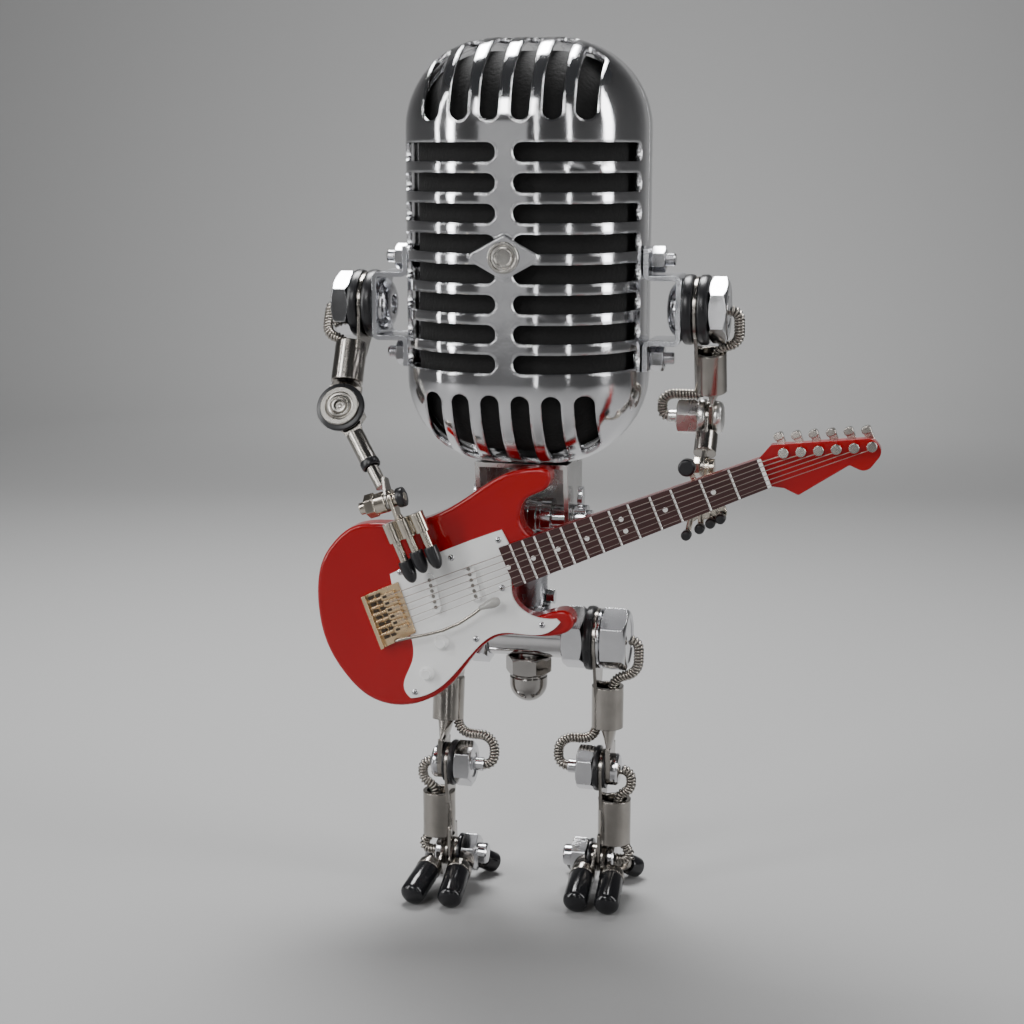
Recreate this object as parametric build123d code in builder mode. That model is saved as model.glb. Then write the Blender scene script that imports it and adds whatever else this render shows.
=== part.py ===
from build123d import *
from math import asin, cos, degrees, radians, sin
import os

# Robot-shaped desk lamp put together from tube lugs, bolts and hose, playing a toy guitar.
# Sizes in millimetres, +Z up, the robot faces -Y. The origin is under the middle of the whole lamp,
# on the surface that it stands on.

# --- places and clearances ---
body_x = -21.38  # the robot's upright axis, seen from the middle of the lamp with its guitar
body_y = -0.5
running = 0.05  # radial, pin in a turning hole
seated = 0.02  # radial, pin in a hole of the same body
side_play = 0.2  # between a turning tab and its neighbour
bearing = 0.05  # between two fasteners of one joint that bear on each other
soft_gap = 0.3

# --- head: two grille shells ---
head_width = 73.6
head_depth = 69.0
head_height = 128.0
head_bottom = 142.0
head_corner = 30.0
head_edge = 27.0
shell_wall = 1.6
slot_rows = 8
row_pitch = 8.74
row_height = 5.5
first_row = 94.5  # middle of the top row above the head's bottom
rib_half = 2.6
side_band = 10.2
column_pitch = 9.2
column_width = 5.7
crown_slot_foot = 103.5  # above the head's bottom
crown_slot_reach = (3.0, 3.0, 12.0)  # how near to the seam each pair of crown slots runs
base_slot_top = 24.0
base_slot_reach = 14.0
boss_half_width = 12.0
boss_half_height = 6.6
boss_middle = 64.4
boss_corner = 1.5
boss_proud = 0.8
badge_radius = 4.7
badge_thickness = 1.0
liner_wall = 1.2
screw_head = 2.4  # height of the strap screws' heads inside the shell
holder_radius = 11.0
holder_height = 22.0
holder_foot = 1.0  # thin flange on the shells' floor
holder_lip = 8.0  # from the holder's rim down to the bulb's seat
bulb_sunk = 6.0  # of the bulb's neck under its seat
bulb_radius = 19.0
bulb_top = 92.0  # above the head's bottom
bulb_neck = 7.0
bulb_stem = 18.0  # straight part, most of it in the holder
inlet_radius = 4.2
inlet_bore = 1.8
inlet_collar = 2.0

# --- shoulder straps and joints ---
strap_width = 18.0
strap_sheet = 1.5
strap_half_height = 18.5
strap_bend = 1.4  # at the middle of the sheet
hat_half_height = 9.8  # middle of the hat's legs
hat_depth = 11.5  # outer face of the hat from the head's side
strap_screw_offset = 15.0
strap_screw_radius = 2.0
strap_nut_flats = 7.0
strap_nut_height = 4.2
strap_screw_tip = 3.0
neck_screw_x = 4.5
neck_screw_head = 2.0
neck_screw_end = 5.0  # of the neck screws' bores in the lamp holder
screw_head_share = 1.9  # small screws' heads against their shanks
shoulder_height = 189.5
shoulder_bolt_radius = 5.0
button_radius = 8.3
button_height = 3.2
socket_flats = 6.0
inner_washer = 3.4
outer_washer = 3.2
washer_radius = 10.7
arm_tab = 1.0
arm_tab_radius = 10.0
nut_flats = 17.6
shoulder_nut_height = 5.6

# --- arms ---
arm_length = 35.6
arm_barrel_radius = 5.0
arm_barrel_wall = 1.2
arm_barrel_start = 13.6
arm_barrel_rise = 9.1  # barrel's lower end above the elbow
arm_barrel_offset = 4.1  # barrel's axis outside the tab's inner face
arm_swing = {1: -16.0, -1: 26.0}  # forward, right arm and left arm
elbow_tab = 1.2
elbow_tab_radius = 5.2
elbow_bolt_radius = 2.5
elbow_nut_flats = 10.0
elbow_nut_height = 6.7
elbow_stub = 3.0
elbow_washer = 2.2
elbow_disc_radius = 5.2
elbow_disc = 3.0
forearm_tab = 1.0
forearm_length = 18.0
forearm_lean = 40.0  # right forearm, forward from straight down
forearm_barrel_radius = 3.5
left_elbow_bend = 33.0
left_forearm_length = 34.5
left_barrel_radius = 2.8
left_rod_radius = 2.0
left_elbow_washer_radius = 7.7
left_rubber = 1.5
left_elbow_nut = 4.1
left_elbow_end = 3.0  # of the bolt in front of the forearm's tab
left_elbow_cap = 1.0
left_barrel_start = 9.5
left_barrel_end = 21.0
left_wrist_slope = 18.0
wrist_bolt_radius = 1.4
small_nut = 1.9
small_head = 1.8
wrist_tab_radius = 3.2
wire_radius = 0.9
tip_radius = 2.2
tip_length = 5.5
palm_sheet = 1.4
palm_spread = 4.6  # right hand, from the palm's middle to the middle of each lobe
strut_radius = 1.5
finger_bend = 1.6
palm_right = (57.0, 132.5)
finger_root = ((-3.0, -1.5), (-0.8, -1.5), (1.4, -1.5), (3.6, -0.5))  # from the palm's middle
finger_under = ((52.6, 123.4), (56.6, 125.6), (59.8, 127.4), (62.8, 128.9))  # tips under the guitar's neck
thumb_root = (-2.0, 5.0)
thumb_over = (52.4, 144.0)  # tip over the guitar's neck
palm_left = (5.71, -8.17)  # from the left wrist
left_hand_lean = 23.0  # left fingers from straight down, towards the guitar's neck
left_fingers = ((-4.8, 14.1), (-0.3, 12.5), (4.5, 12.8))  # place across the palm, wire's end along it
knuckle_radius = 2.3
knuckle_back = 3.5  # knuckle barrels behind and before the palm's middle
knuckle_front = 2.7
palm_web = (9.3, 3.6)
left_finger_radius = 1.4
left_tip_length = 6.5
tip_nose = 1.5  # rubber past a finger's end
thumb_tip_radius = 2.6
wrist_collar_radius = 3.3
wrist_collar = 3.5
wrist_nut_flats = 6.5
wrist_nut = 3.0
wrist_stub_radius = 1.9
wrist_stub = 2.2
wrist_disc_radius = 3.1
wrist_disc = 2.4
wrist_disc_gap = 1.2  # boss between the hand's tab and the rubber disc

# --- hoses ---
hose_radius = 1.35
hose_stand = 2.8  # middle of a hose's loop out from the end of its bolt
hose_drop = 11.0  # first straight of the shoulder and hip hoses
hose_tuck = 17.0  # their ends inside the barrels, from the bolt's middle

# --- neck, spine and waist ---
neck_sheet = 1.5
neck_width = 29.4
neck_depth = 24.0
neck_front_drop = 20.0
tilt_height = 19.0  # tilt axis below the head's bottom
ear_radius = 9.0
notch_radius = 6.0
tilt_bolt_radius = 3.0
tilt_bolt_end = 5.5  # past each wing nut's seat
wing_nut_wall = 1.6
wing_nut_height = 4.0
wing_span = 7.0
wing_half = (3.4, 2.4)
wing_sheet = 1.6
hub_radius = 6.3
hub_half_length = 8.0
hub_ring_depth = 0.5
hub_sleeve_radius = 4.4
spine_radius = 6.0
spine_bore = 4.3
waist_bolt_radius = 4.0
waist_bolt_reach = 12.0  # up inside the spine
collar_radius = 7.0
collar_height = 3.0
set_screw_rise = 2.6  # over the spine's collar
set_screw_radius = 1.2
set_screw_bite = 1.0
set_screw_flats = 4.0
set_screw_head = 2.6
hub_stem = 8.0  # of the hub's stem inside the spine
ring_groove = 1.4

# --- hips ---
hip_tube_radius = 7.0
hip_tube_bore = 6.05
hip_tube_half = 11.8
hip_bolt_radius = 6.0
hip_bolt_reach = 7.0  # of each bolt inside the tube
hip_nut_height = 7.1
hip_washer = 3.0
hip_washer_radius = 10.3
thigh_tab = 1.0
hip_thin_washer = 0.8
hip_head_height = 8.5
acorn_flats = 13.0
acorn_hex = 5.6
acorn_dome = 9.5
dome_radius = 6.1

# --- legs ---
thigh_length = 43.3
thigh_tab_radius = 9.6
thigh_barrel_radius = 5.1
thigh_barrel_start = 15.4
thigh_barrel_rise = 14.2  # barrel's lower end above the knee
thigh_barrel_offset = 3.7
knee_gap = 0.1
leg_swing = {1: 0.0, -1: 8.5}  # thigh forward from straight down
knee_tab = 1.5
knee_tab_radius = 5.2
knee_bolt_radius = 3.9
knee_nut_flats = 13.0
knee_nut_height = 5.7
knee_stub = 3.4
knee_stub_radius = 2.2
knee_inner_washer = 1.7
knee_outer_washer = 0.8
knee_washer_radius = 7.4
knee_disc = 2.8
shin_length = 30.5
shin_tab = 1.0
shin_tab_radius = 6.4
shin_barrel_radius = 5.3
shin_barrel_start = 9.9
shin_barrel_rise = 5.9  # barrel's lower end above the ankle
shin_barrel_offset = 4.3
barrel_wall = 1.2

# --- feet ---
ankle_bolt_radius = 2.5
ankle_tab = 0.8
ankle_tab_radius = 4.6
ankle_washer_radius = 6.0
ankle_washer = 1.2
ankle_nut_flats = 11.0
ankle_nut_height = 5.2
ankle_stub = 3.0
ankle_stub_radius = 3.4
ankle_head = 2.3
toe_length = 23.3
toe_slope = 19.0
toe_radius = 3.6
toe_start = 7.2
toe_collar_radius = 4.1
toe_collar = 2.0
cap_length = 13.0
cap_radius = 4.0
cap_wall = 1.0
cap_squash = 0.6  # depth of the flat worn on each cap
toe_splay = {1: 2.0, -1: 12.0}  # outer toe's turn outwards
heel_length = 16.5
heel_start = 8.2
heel_offset = 5.0
heel_neck_radius = 1.6
heel_splay = 35.0
heel_radius = 2.6
heel_cap_radius = 3.4
heel_cap_length = 6.0

# --- guitar, in its own plane: u along the neck, v across it ---
guitar_angle = 22.7
guitar_front = -23.0
guitar_x = -1.58  # body end of the fretboard
guitar_z = 111.73
guitar_body_thickness = 8.0
guitar_edge = 1.2
guard_thickness = 0.8
scale_to_nut = 84.0
board_width_body = 13.2
board_width_nut = 9.05
board_thickness = 1.5
neck_thickness = 6.0
headstock_thickness = 4.0
heel_upper_u = 10.2
heel_lower_u = -1.6
post_radius = 0.9
post_cap_radius = 1.5
post_height = 2.2
button_size = 1.4
button_width = 2.2
post_cap = 0.8
tuner_case = (2.4, 1.6)  # width and depth of the case behind the headstock
pickup_width = 3.2
pickup_height = 1.2
knob_radius = 2.4
knob_height = 2.6
bridge_thickness = 1.4
saddle_height = 1.2
saddle_size = (5.0, 1.7)
arm_wire = 0.6
arm_rise = 4.5  # tremolo arm's height over the body
mount_screw_radius = 1.2
mount_spacer_radius = 2.6
mount_bite = 4.0  # of the carrier screws in the guitar's body
mount_points = ((-10.0, 130.0), (3.8, 137.5))
pickups = (((-25.1, 0.5), 12.6, 80.3), ((-11.9, -0.5), 12.2, 82.3))  # middle, length, turn
knobs = ((-28.9, -14.9), (-37.2, -22.6))
saddle_u = -39.0
string_middle = -0.7
string_spread = 11.0
headstock_set_back = 1.0
headstock_tip_round = 3.0
tuner_first = (91.3, 3.7)
tuner_last = (115.7, -3.5)
button_reach = 4.4
button_lean = -0.3
arm_pivot = (-42.0, -9.2)
arm_tip = (-12.0, -8.4)
paddle_length = 7.0
paddle_radius = 1.1


# --- places worked out from the sizes ---
def at(x, y, z):
    """Point seen from the robot's upright axis."""
    return Vector(body_x + x, body_y + y, z)


cap_drop = cap_radius * cos(radians(toe_slope)) - cap_squash
ankle_height = toe_length * sin(radians(toe_slope)) + cap_drop
knee_height = ankle_height + shin_length
hip_height = knee_height + thigh_length * cos(radians(leg_swing[1]))
tilt_z = head_bottom - tilt_height
spine_bottom = hip_height + hip_tube_radius + side_play
spine_top = tilt_z - hub_radius

head_half = head_width / 2
depth_half = head_depth / 2
plate_out = head_half + hat_depth
arm_inner = plate_out + inner_washer + side_play
arm_outer = arm_inner + arm_tab + side_play
shoulder_nut_out = arm_outer + outer_washer
shoulder_end = shoulder_nut_out + shoulder_nut_height
arm_axis_out = arm_inner + arm_barrel_offset
arm_barrel_end = arm_length - arm_barrel_rise

hip_washer_out = hip_tube_half + side_play + hip_nut_height
thigh_inner = hip_washer_out + hip_washer + 0.1
hip_thin_out = thigh_inner + thigh_tab + side_play
hip_head_out = hip_thin_out + hip_thin_washer
hip_end = hip_head_out + hip_head_height
thigh_axis_out = thigh_inner + thigh_barrel_offset
thigh_barrel_end = thigh_length - thigh_barrel_rise
shin_barrel_end = shin_length - shin_barrel_rise

thigh_foot_out = thigh_axis_out + 0.3
knee_outer_washer_out = thigh_foot_out - 0.1 - knee_outer_washer
shin_inner = knee_outer_washer_out - knee_gap - shin_tab
knee_inner_washer_out = shin_inner - side_play - knee_inner_washer
knee_nut_out = knee_inner_washer_out - knee_nut_height
knee_disc_out = thigh_foot_out + knee_tab
shin_axis_out = shin_inner + shin_barrel_offset

ankle_shin_out = shin_inner - 0.6
ankle_shin_tab = 1.0
inner_toe_out = ankle_shin_out - side_play - ankle_tab
inner_heel_out = inner_toe_out - ankle_tab - side_play / 2
ankle_washer_out = inner_heel_out - ankle_washer
ankle_nut_out = ankle_washer_out - side_play - ankle_nut_height
outer_heel_out = ankle_shin_out + ankle_shin_tab + side_play
outer_toe_out = outer_heel_out + ankle_tab + side_play / 2
ankle_head_out = outer_toe_out + ankle_tab + side_play


tuner_places = []
for string in range(6):
    share = string / 5
    tuner_places.append((tuner_first[0] + share * (tuner_last[0] - tuner_first[0]),
                         tuner_first[1] + share * (tuner_last[1] - tuner_first[1])))


def limb_frame(side, origin, swing):
    """Plane in a limb's joint: local x down the limb, local z straight out from the body."""
    lean = radians(swing)
    return Plane(origin=origin, x_dir=(0, -sin(lean), -cos(lean)), z_dir=(side, 0, 0))


def turned_over(frame, down):
    """The same plane at the limb's lower joint, with local x pointing back up the limb."""
    return Plane(origin=frame.from_local_coords((down, 0, 0)), x_dir=frame.x_dir * -1, z_dir=frame.z_dir)


def cross_plane(frame, down, out):
    """Plane square to the limb: local x across it, local y outwards."""
    origin = frame.from_local_coords((down, 0, out))
    return Plane(origin=origin, x_dir=frame.y_dir, z_dir=frame.x_dir)


shoulder = {}
hip = {}
knee = {}
ankle = {}
for side in (1, -1):
    shoulder[side] = limb_frame(side, at(0, 0, shoulder_height), arm_swing[side])
    hip[side] = limb_frame(side, at(0, 0, hip_height), leg_swing[side])
    knee[side] = limb_frame(side, hip[side].from_local_coords((thigh_length, 0, 0)), 0)
    ankle[side] = knee[side].from_local_coords((shin_length, 0, 0))


# --- features that several pieces share; each adds to the part being built ---
def puck(frame, out, radius, height, bore=0):
    """Round washer, pin or head on the joint's axis."""
    with BuildSketch(frame.offset(out)) as outline:
        Circle(radius)
        if bore:
            Circle(bore, mode=Mode.SUBTRACT)
    extrude(outline.sketch, amount=height)


def hexagon(frame, out, flats, height, bore=0):
    """Hexagon nut or bolt head on the joint's axis."""
    with BuildSketch(frame.offset(out)) as outline:
        RegularPolygon(flats / 2, 6, major_radius=False)
        if bore:
            Circle(bore, mode=Mode.SUBTRACT)
    extrude(outline.sketch, amount=height)


def tab(frame, out, thickness, ring, bore, reach, half_width):
    """Flat palm of a tube lug: a ring round the bolt and a plate running on to the barrel."""
    with BuildSketch(frame.offset(out)) as outline:
        Circle(ring)
        with BuildLine():
            Polyline((0, ring), (reach, half_width), (reach, -half_width), (0, -ring), close=True)
        make_face()
        Circle(bore, mode=Mode.SUBTRACT)
    extrude(outline.sketch, amount=thickness)


def barrel(frame, start, end, out, radius, wall):
    """Tube of a lug along the limb, open at its start, its far end closed by the wall's thickness."""
    mouth = cross_plane(frame, start, out)
    with BuildSketch(mouth) as tube:
        Circle(radius)
    extrude(tube.sketch, amount=end - start)
    with BuildSketch(mouth) as bore:
        Circle(radius - wall)
    extrude(bore.sketch, amount=end - start - wall, mode=Mode.SUBTRACT)


def flattened(frame, start, start_out, start_half, end, end_out, end_half):
    """Pressed stretch between a barrel and its tab; each half gives the size across and outwards."""
    with BuildSketch(cross_plane(frame, start, start_out)) as round_end:
        Ellipse(start_half[0], start_half[1])
    with BuildSketch(cross_plane(frame, end, end_out)) as flat_end:
        Ellipse(end_half[0], end_half[1])
    loft(sections=[round_end.sketch, flat_end.sketch])


def hose(frame, route, bends):
    """Spring-sheathed hose in the plane of the limb; the route's points are (down, out)."""
    side_plane = Plane(origin=frame.origin, x_dir=frame.x_dir, z_dir=frame.x_dir.cross(frame.z_dir))
    with BuildLine(side_plane) as path:
        FilletPolyline(*route, radius=bends)
    with BuildSketch(Plane(origin=path.line @ 0, z_dir=path.line % 0)) as section:
        Circle(hose_radius)
    sweep(section.sketch, path=path.line)


def wire(points, bends, radius):
    """Round wire bent through points in space."""
    with BuildLine() as path:
        FilletPolyline(*points, radius=bends)
    with BuildSketch(Plane(origin=path.line @ 0, z_dir=path.line % 0)) as section:
        Circle(radius)
    sweep(section.sketch, path=path.line)


def rod(start, end, radius):
    """Straight round bar between two points."""
    run = end - start
    with BuildSketch(Plane(origin=start, z_dir=run)) as section:
        Circle(radius)
    extrude(section.sketch, amount=run.length)


def keep(part, name):
    """Label one finished piece and write it."""
    part.label = name
    export_step(part, f"parts/{name}.step")


side_names = {1: "right", -1: "left"}
os.makedirs("parts", exist_ok=True)


# --- head shells ---
def rounded_box(inset):
    """The head's outline, smaller by the inset on every face."""
    with BuildPart() as form:
        with BuildSketch(Plane(at(0, 0, head_bottom + inset))):
            RectangleRounded(head_width - 2 * inset, head_depth - 2 * inset, head_corner - inset)
        extrude(amount=head_height - 2 * inset)
        fillet(form.faces().filter_by(Axis.Z).edges(), head_edge - inset)
    return form.part


def half_slot(facing):
    """Cutter for one row beside the rib, from the front or rear face round to the side band."""
    length = head_half + 5 - rib_half
    reach = depth_half + 5 - side_band
    with BuildPart() as cutter:
        Box(length, reach, row_height, align=(Align.MIN, Align.MIN, Align.CENTER))
        at_rib = cutter.edges().filter_by(Axis.Y).group_by(Axis.X)[0]
        at_band = cutter.edges().filter_by(Axis.X).group_by(Axis.Y)[0]
        fillet(at_rib + at_band, row_height / 2 - 0.05)
    placed = cutter.part.moved(Location((rib_half, side_band, 0)))
    return placed if facing > 0 else mirror(placed, about=Plane.XZ)


def column_slot(reach, low, high, rounded_low):
    """Cutter for one upright slot, from a distance off the seam out past the face."""
    length = depth_half + 5 - reach
    with BuildPart() as cutter:
        Box(column_width, length, high - low, align=(Align.CENTER, Align.MIN, Align.MIN))
        end = 0 if rounded_low else -1
        at_face = cutter.edges().filter_by(Axis.Y).group_by(Axis.Z)[end]
        at_seam = cutter.edges().filter_by(Axis.Z).group_by(Axis.Y)[0]
        fillet(at_face + at_seam, column_width / 2 - 0.05)
    return cutter.part.moved(Location((0, reach, low)))


def shell(facing):
    """Front (-1) or rear (+1) grille shell, with its rows, columns and boss."""
    outside = rounded_box(0)
    inside = rounded_box(shell_wall)
    row_cutter = half_slot(facing)
    row_mirror = mirror(row_cutter, about=Plane.YZ)
    column_cutters = []
    for column in range(3):
        crown = column_slot(crown_slot_reach[column], crown_slot_foot, head_height + 5, True)
        base = column_slot(base_slot_reach, -5, base_slot_top, False)
        for cutter in (crown, base):
            turned = cutter if facing > 0 else mirror(cutter, about=Plane.XZ)
            for hand in (1, -1):
                column_cutters.append((hand * column_pitch * (column + 0.5), turned))
    with BuildPart() as half:
        add(outside)
        add(inside, mode=Mode.SUBTRACT)
        split(bisect_by=Plane(at(0, 0, 0), z_dir=(0, facing, 0)), keep=Keep.TOP)
        for row in range(slot_rows):
            middle = head_bottom + first_row - row * row_pitch
            for cutter in (row_cutter, row_mirror):
                add(cutter.moved(Location(at(0, 0, middle))), mode=Mode.SUBTRACT)
        for across, cutter in column_cutters:
            add(cutter.moved(Location(at(across, 0, head_bottom))), mode=Mode.SUBTRACT)
        face = Plane(at(0, 0, head_bottom + boss_middle), x_dir=(1, 0, 0), z_dir=(0, facing, 0))
        with BuildSketch(face.offset(depth_half - shell_wall)) as boss:
            with BuildLine():
                Polyline((-boss_half_width, 0), (0, boss_half_height), (boss_half_width, 0),
                         (0, -boss_half_height), close=True)
            make_face()
            fillet(boss.vertices().group_by(Axis.X)[0] + boss.vertices().group_by(Axis.X)[-1], boss_corner)
            Circle(badge_radius + 1)
        extrude(boss.sketch, amount=shell_wall + boss_proud)
        if facing > 0:
            with BuildSketch(face.offset(depth_half - shell_wall)) as inlet_hole:
                Circle(inlet_radius - 1)
            extrude(inlet_hole.sketch, amount=shell_wall + boss_proud, mode=Mode.SUBTRACT)
        for hand in (1, -1):
            wall = Plane(at(0, 0, shoulder_height), x_dir=(0, 0, 1), z_dir=(hand, 0, 0))
            with BuildSketch(wall.offset(head_half - shell_wall - 1)) as screw_holes:
                with Locations((strap_screw_offset, 0), (-strap_screw_offset, 0)):
                    Circle(strap_screw_radius + seated)
            extrude(screw_holes.sketch, amount=shell_wall + 2, mode=Mode.SUBTRACT)
        with BuildSketch(Plane(at(0, 0, head_bottom - 1))) as neck_holes:
            with Locations((neck_screw_x, 0), (-neck_screw_x, 0)):
                Circle(strap_screw_radius + seated)
        extrude(neck_holes.sketch, amount=shell_wall + 2, mode=Mode.SUBTRACT)
    return half.part


keep(shell(-1), "head_front_shell")
keep(shell(1), "head_rear_shell")

# foam liner resting against the heads of the strap screws
liner_inset = shell_wall + screw_head
liner_outside = rounded_box(liner_inset)
liner_inside = rounded_box(liner_inset + liner_wall)
with BuildPart() as grille_liner:
    add(liner_outside)
    add(liner_inside, mode=Mode.SUBTRACT)
    with BuildSketch(Plane(at(0, 0, head_bottom))) as liner_mouth:
        Circle(holder_radius + seated)
    extrude(liner_mouth.sketch, amount=holder_height, mode=Mode.SUBTRACT)
keep(grille_liner.part, "grille_liner")

boss_plane = Plane(at(0, -depth_half - boss_proud, head_bottom + boss_middle), x_dir=(1, 0, 0),
                   z_dir=(0, -1, 0))
with BuildPart() as badge:
    puck(boss_plane, 0, badge_radius, badge_thickness)
    fillet(badge.faces().sort_by(Axis.Y)[0].edges(), badge_thickness / 3)
keep(badge.part, "badge")

with BuildPart() as cord_inlet:
    inlet_plane = Plane(at(0, depth_half - shell_wall, head_bottom + boss_middle), z_dir=(0, 1, 0))
    puck(inlet_plane, 0, inlet_radius - 1 - seated, shell_wall + boss_proud)
    puck(inlet_plane, shell_wall + boss_proud, inlet_radius, inlet_collar)
    with BuildSketch(inlet_plane) as lead_hole:
        Circle(inlet_bore)
    extrude(lead_hole.sketch, amount=shell_wall + boss_proud + inlet_collar, mode=Mode.SUBTRACT)
keep(cord_inlet.part, "cord_inlet")

# lamp holder on the shells' floor, bulb screwed into it
holder_floor = Plane(at(0, 0, head_bottom + shell_wall))
bulb_seat = holder_height - holder_lip
with BuildPart() as bulb_holder:
    puck(holder_floor, 0, depth_half - head_edge - 0.1, holder_foot)
    puck(holder_floor, holder_foot, holder_radius, holder_height - holder_foot)
    with BuildSketch(holder_floor.offset(bulb_seat - bulb_sunk)) as socket:
        Circle(bulb_neck + seated)
    extrude(socket.sketch, amount=holder_height, mode=Mode.SUBTRACT)
    with BuildSketch(holder_floor) as holder_holes:
        with Locations((neck_screw_x, 0), (-neck_screw_x, 0)):
            Circle(strap_screw_radius + seated)
    extrude(holder_holes.sketch, amount=neck_screw_end, mode=Mode.SUBTRACT)
keep(bulb_holder.part, "bulb_holder")

with BuildPart() as led_bulb:
    foot = bulb_seat - bulb_sunk + shell_wall
    shoulder_z = foot + bulb_stem
    with BuildSketch(Plane(at(0, 0, head_bottom), x_dir=(1, 0, 0), z_dir=(0, -1, 0))) as profile:
        with BuildLine():
            base_line = Line((0, foot), (bulb_neck, foot))
            stem = Line(base_line @ 1, (bulb_neck, shoulder_z))
            globe_middle = bulb_top - bulb_radius
            swell = Spline(stem @ 1, (bulb_radius, globe_middle), tangents=((0, 1), (0, 1)))
            crown = JernArc(start=swell @ 1, tangent=(0, 1), radius=bulb_radius, arc_size=90)
            Line(crown @ 1, base_line @ 0)
        make_face()
    revolve(profile.sketch, axis=Axis(at(0, 0, 0), (0, 0, 1)))
keep(led_bulb.part, "led_bulb")

# --- shoulder straps: bent hats that also hold the two shells together ---
with BuildPart() as shoulder_brackets:
    for side in (1, -1):
        inner = head_half + strap_sheet / 2
        outer = plate_out - strap_sheet / 2
        leg = hat_half_height
        strap_plane = Plane(at(0, -strap_width / 2, shoulder_height), x_dir=(side, 0, 0), z_dir=(0, -side, 0))
        up = strap_plane.y_dir.Z
        with BuildSketch(strap_plane) as strap:
            with BuildLine():
                FilletPolyline((inner, -strap_half_height * up), (inner, -leg * up), (outer, -leg * up),
                               (outer, leg * up), (inner, leg * up), (inner, strap_half_height * up),
                               radius=strap_bend)
            trace(line_width=strap_sheet)
        extrude(strap.sketch, amount=-strap_width if side > 0 else strap_width)
        wall = Plane(at(0, 0, shoulder_height), x_dir=(0, 0, 1), z_dir=(side, 0, 0))
        with BuildSketch(wall.offset(head_half - 1)) as strap_holes:
            with Locations((strap_screw_offset, 0), (-strap_screw_offset, 0)):
                Circle(strap_screw_radius + seated)
        extrude(strap_holes.sketch, amount=strap_sheet + 2, mode=Mode.SUBTRACT)
        with BuildSketch(wall.offset(plate_out - strap_sheet - 1)) as bolt_hole:
            Circle(shoulder_bolt_radius + seated)
        extrude(bolt_hole.sketch, amount=strap_sheet + 2, mode=Mode.SUBTRACT)
keep(shoulder_brackets.part, "shoulder_brackets")

with BuildPart() as bracket_screws:
    for side in (1, -1):
        for place in (strap_screw_offset, -strap_screw_offset):
            axis = Plane(at(0, 0, shoulder_height + place), x_dir=(0, 0, 1), z_dir=(side, 0, 0))
            flange_face = head_half + strap_sheet
            puck(axis, head_half - liner_inset, screw_head_share * strap_screw_radius, screw_head)
            reach = flange_face + strap_nut_height + strap_screw_tip
            puck(axis, head_half - shell_wall, strap_screw_radius, reach - head_half + shell_wall)
            hexagon(axis, flange_face, strap_nut_flats, strap_nut_height, strap_screw_radius + seated)
    for hand in (1, -1):
        neck_axis = Plane(at(hand * neck_screw_x, 0, head_bottom - neck_sheet))
        puck(neck_axis, -neck_screw_head, screw_head_share * strap_screw_radius, neck_screw_head)
        puck(neck_axis, 0, strap_screw_radius, neck_sheet + shell_wall + neck_screw_end - 1)
keep(bracket_screws.part, "bracket_screws")

with BuildPart() as shoulder_bolts:
    for side in (1, -1):
        axis = Plane(at(0, 0, shoulder_height), x_dir=(0, 0, 1), z_dir=(side, 0, 0))
        head_out = plate_out - strap_sheet - button_height
        puck(axis, head_out, button_radius, button_height)
        rims = shoulder_bolts.edges().filter_by(GeomType.CIRCLE)
        rim = rims.sort_by_distance(axis.offset(head_out).origin)[0]
        chamfer(rim, button_height * 0.6, button_height * 0.9)
        with BuildSketch(axis.offset(head_out)) as socket:
            RegularPolygon(socket_flats / 2, 6, major_radius=False)
        extrude(socket.sketch, amount=button_height * 0.6, mode=Mode.SUBTRACT)
        puck(axis, plate_out - strap_sheet, shoulder_bolt_radius, shoulder_end - plate_out + strap_sheet)
        hexagon(axis, shoulder_nut_out, nut_flats, shoulder_nut_height, shoulder_bolt_radius + seated)
keep(shoulder_bolts.part, "shoulder_bolts")

with BuildPart() as shoulder_washers:
    for side in (1, -1):
        axis = Plane(at(0, 0, shoulder_height), x_dir=(0, 0, 1), z_dir=(side, 0, 0))
        for out, height in ((plate_out, inner_washer), (arm_outer, outer_washer)):
            puck(axis, out, washer_radius, height, shoulder_bolt_radius + seated)
keep(shoulder_washers.part, "shoulder_washers")

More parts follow.
